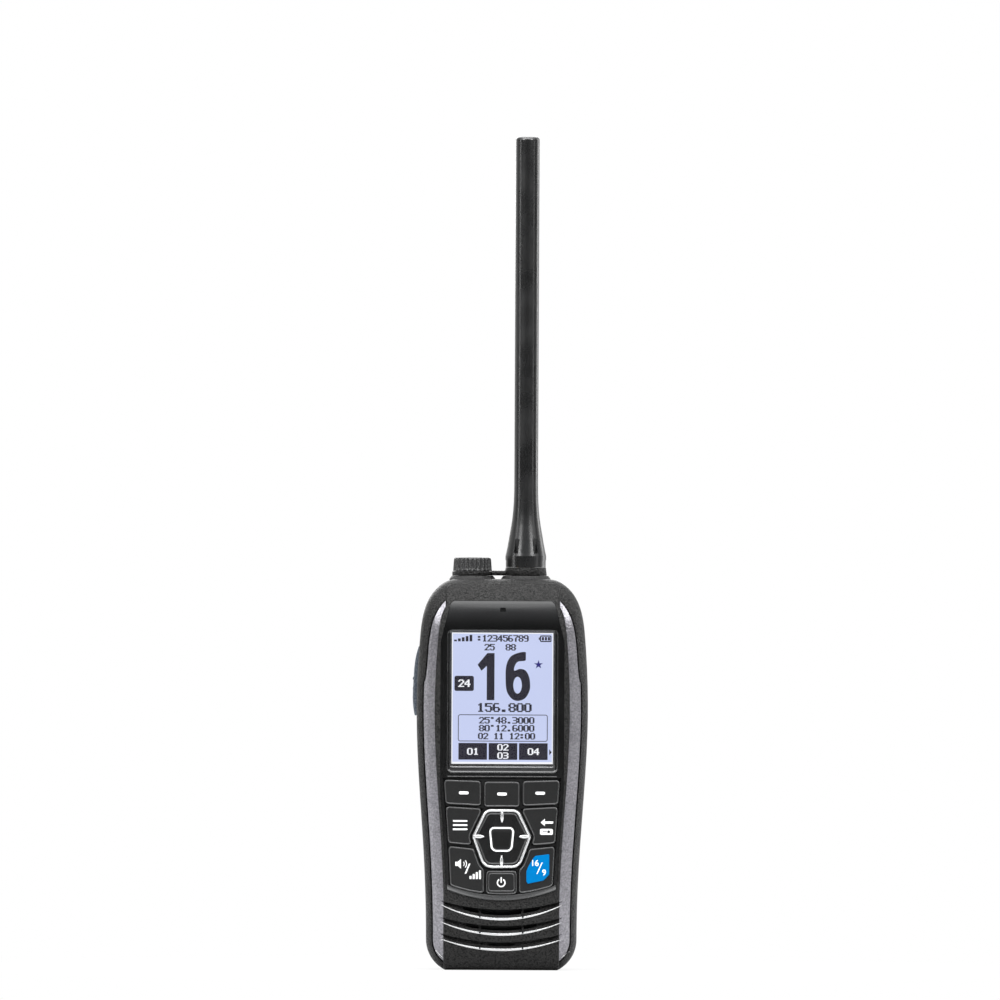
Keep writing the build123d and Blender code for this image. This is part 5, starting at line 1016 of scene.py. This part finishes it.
# %% [markdown]
# ## The tether of the jack cap
#
# A rubber collar round the foot of the antenna, a ring round the cap and a ribbed strap between
# them are one moulding. The collar stays with the case, the ring rises with the cap when it is
# unscrewed, and the strap bends between them; here the moulding is one fixed mesh on no body.
# Collar and ring are turned profiles; the strap is a grid with a wavy upper face for its ridges.

# %% Tether
top_y, antenna_x, jack_x = 7.0, 8.0, -10.7
tether_foot = 138.15


def turned(x, profile, count=96):
    """A closed profile of radius and height over the tether's foot, turned about an axis at x."""
    radius, height = np.asarray(profile, float).T
    turn = full_turn(count)[:, None]
    points = grid_points(x + radius * np.cos(turn), top_y + radius * np.sin(turn), tether_foot + height)
    return points, grid_faces(count, len(radius), True, True)


def strap(steps=60):
    """The strap: a box-like grid whose top is raised by a small cosine wave along its length."""
    low, high, half, bevel = tether_foot + 0.05, tether_foot + 1.7, 3.0, 0.3
    x = np.linspace(1.15, -3.95, steps)
    ridge = high + 0.12 * np.cos(x * 2 * np.pi / 0.55)
    y = np.array([-half, -half + bevel, half - bevel, half, half, -half])
    z = np.stack(np.broadcast_arrays(high - bevel, ridge, ridge, high - bevel, low, low), axis=1)
    return grid_points(x[:, None], top_y + y, z), tube_faces(steps, len(y))


collar = [(5.1, 0), (7.25, 0), (7.4, 0.2), (7.1, 2.7), (6.95, 2.94), (5.25, 2.94), (5.1, 2.8)]
cap_ring = [(6.0, 0), (6.95, 0), (7.1, 0.15), (7.1, 1.3), (6.95, 1.5), (6.15, 1.5), (6.0, 1.35)]
points, faces = joined([turned(antenna_x, collar), turned(jack_x, cap_ring), strap()])
tether = make_piece("cap_tether_moulding", points, faces, finishes["case_plastic"], "case")
tether.parent = None
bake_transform(tether)
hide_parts("cap_tether")
print("tether points", len(tether.data.vertices))

# %% [markdown]
# ## The jack cap
#
# The cap is a hollow rubber button with fine flutes for the fingers. Cutting each flute from a
# solid would leave sharp ridges; here the cap is a profile turned about its axis, and its radius is
# drawn in by a wave round the circumference, so ridges and grooves run smoothly into each other.
# The wave fades out at the foot and at the rounded top.

# %% Fluted cap
cap_profile = np.array([(0.4, 142.35), (5.15, 142.35), (5.15, 138.4), (5.9, 138.4), (5.9, 139.7),
                        (6.75, 139.75), (6.85, 139.9), (6.84, 140.1), (6.8, 140.4), (6.75, 141.2),
                        (6.68, 142.1), (6.62, 143.0), (6.57, 143.5), (6.52, 143.85), (6.4, 144.12),
                        (6.2, 144.33), (5.9, 144.46), (5.6, 144.5), (5.3, 144.5), (5.1, 144.42),
                        (3.0, 144.42), (0.4, 144.42)])
flutes, flute_depth, columns = 24, 0.55, 192
cap_radius, cap_height = cap_profile.T
cap_turn = full_turn(columns)[:, None]
fade = np.interp(cap_height, [139.9, 140.5, 143.6, 144.4], [0, 1, 1, 0]) * (cap_radius > 5.9)
wave = (0.5 + 0.5 * np.cos(flutes * cap_turn)) ** 2.2
fluted = cap_radius - flute_depth * fade * wave
cap_points = grid_points(jack_x + fluted * np.cos(cap_turn), top_y + fluted * np.sin(cap_turn), cap_height)
cap_faces = capped_faces(columns, len(cap_profile))
cap_piece = make_piece("jack_cap_fluted", cap_points, cap_faces, cap_rubber, "jack_cap_body")
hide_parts("jack_cap")
print("flutes", flutes, "faces", len(cap_faces))

# %% [markdown]
# ## Floor, light and camera
#
# The radio stands on a plain pale floor that keeps a soft shadow near the radio and turns white
# further out. The world is white for the camera and through the window; what the surfaces reflect
# is a room that is dim below, bright above and pale behind. Eight soft panels light it: two wide
# ones from above, a narrow tall one on either side so that the edges of the dark case show, two
# small ones high in front, and two behind for the back and its edges.

# %% Floor
floor_radius = 0.6
floor_material, tree, shader = new_material("floor_white")
tint = colour_range(tree, noise(tree, 14.0), grey(0.56), grey(0.60))
tree.links.new(tint, shader.inputs["Base Color"])
shader.inputs["Roughness"].default_value = 0.9
away = tree.nodes.new("ShaderNodeVectorMath")
away.operation = "LENGTH"
tree.links.new(tree.nodes.new("ShaderNodeTexCoord").outputs["Object"], away.inputs[0])
whiter = value_range(tree, away.outputs["Value"], 0.85, 1.0, 0.03, 0.22, "SMOOTHSTEP")
seen = tree.nodes.new("ShaderNodeLightPath").outputs["Is Camera Ray"]
white_share = combined(tree, "MULTIPLY", seen, whiter)
glow = tree.nodes.new("ShaderNodeEmission")
mixed(tree, white_share, shader.outputs["BSDF"], glow.outputs["Emission"],
      tree.nodes["Material Output"])
circle = full_turn(96)
floor_edge = grid_points(floor_radius * np.cos(circle), floor_radius * np.sin(circle), 0.0)
floor_mesh = bpy.data.meshes.new("floor")
floor_mesh.from_pydata(floor_edge.tolist(), [], [list(range(len(floor_edge)))])
floor = bpy.data.objects.new("floor", floor_mesh)
bpy.context.scene.collection.objects.link(floor)
floor.data.materials.append(floor_material)
print("floor ready")

# %% World
world = bpy.data.worlds.new("studio")
bpy.context.scene.world = world
world.use_nodes = True
tree = world.node_tree
room, white = tree.nodes["Background"], tree.nodes.new("ShaderNodeBackground")
room.inputs["Color"].default_value = (0.93, 0.96, 1.0, 1)
white.inputs["Color"].default_value = (1, 1, 1, 1)
white.inputs["Strength"].default_value = 1.0
heading = tree.nodes.new("ShaderNodeSeparateXYZ")
tree.links.new(tree.nodes.new("ShaderNodeTexCoord").outputs["Generated"], heading.inputs[0])
ceiling = value_range(tree, heading.outputs["Z"], 0.06, 1.0, 0.05, 0.95, "SMOOTHERSTEP")
tree.links.new(ceiling, room.inputs["Strength"])
backdrop = value_range(tree, heading.outputs["Y"], 0.0, 0.7, 0.0, 0.5)
ray = tree.nodes.new("ShaderNodeLightPath").outputs
seen = combined(tree, "MAXIMUM", ray["Is Camera Ray"], ray["Is Transmission Ray"])
mirrored = combined(tree, "MULTIPLY", ray["Is Glossy Ray"], backdrop)
white_share = combined(tree, "MAXIMUM", seen, mirrored)
mixed(tree, white_share, room.outputs["Background"], white.outputs["Background"], tree.nodes["World Output"])
print("world ready")

# %% Soft panels
lamps = {  # name: place, aim, width and height, power in watts
    "top_front_light": ((-0.10, -0.66, 1.14), (0, 0, 0.12), (1.3, 0.6), 10),
    "top_light": ((0.0, 0.0, 1.3), (0, 0, 0.12), (1.2, 0.5), 12),
    "left_light": ((-1.15, -0.33, 0.35), (0, 0, 0.14), (0.14, 1.2), 2.0),
    "right_light": ((1.10, -0.45, 0.35), (0, 0, 0.14), (0.14, 1.2), 1.0),
    "left_high_light": ((-0.72, -0.82, 0.80), (0, 0, 0.13), (0.4, 0.4), 6),
    "right_high_light": ((0.72, -0.82, 0.80), (0, 0, 0.13), (0.4, 0.4), 6),
    "right_back_light": ((0.95, 0.65, 0.3), (0, 0, 0.14), (0.3, 1.1), 3.5),
    "back_light": ((-0.2, 1.3, 0.6), (0, 0, 0.1), (0.9, 0.7), 7),
}
for name, (place, aim, size, power) in lamps.items():
    lamp = bpy.data.lights.new(name, "AREA")
    lamp.shape, lamp.size, lamp.size_y, lamp.energy = "RECTANGLE", size[0], size[1], power
    stand = bpy.data.objects.new(name, lamp)
    bpy.context.scene.collection.objects.link(stand)
    stand.location = place
    stand.rotation_euler = (Vector(aim) - Vector(place)).to_track_quat("-Z", "Y").to_euler()
print("lamps", len(lamps))

# %% [markdown]
# The camera looks straight at the face from eight metres with a long lens, so the view is almost
# free of perspective, and it is rolled by about a quarter of a degree.

# %% Camera
distance, frame_width, middle_x, middle_z, roll = 8.0, 0.350, -0.00116, 0.1647, 0.0048
lens = bpy.data.cameras.new("camera")
lens.sensor_width = 36.0
lens.lens = lens.sensor_width * distance / frame_width
lens.clip_end = 60.0
camera = bpy.data.objects.new("camera", lens)
bpy.context.scene.collection.objects.link(camera)
camera.location = (middle_x, face_y * mm - distance, middle_z)
camera.rotation_euler = (math.pi / 2, -roll, 0)
bpy.context.scene.camera = camera
bpy.context.scene.view_settings.view_transform = "Standard"
print("lens", round(lens.lens, 1), "mm")

# %% Close
print("scene built")
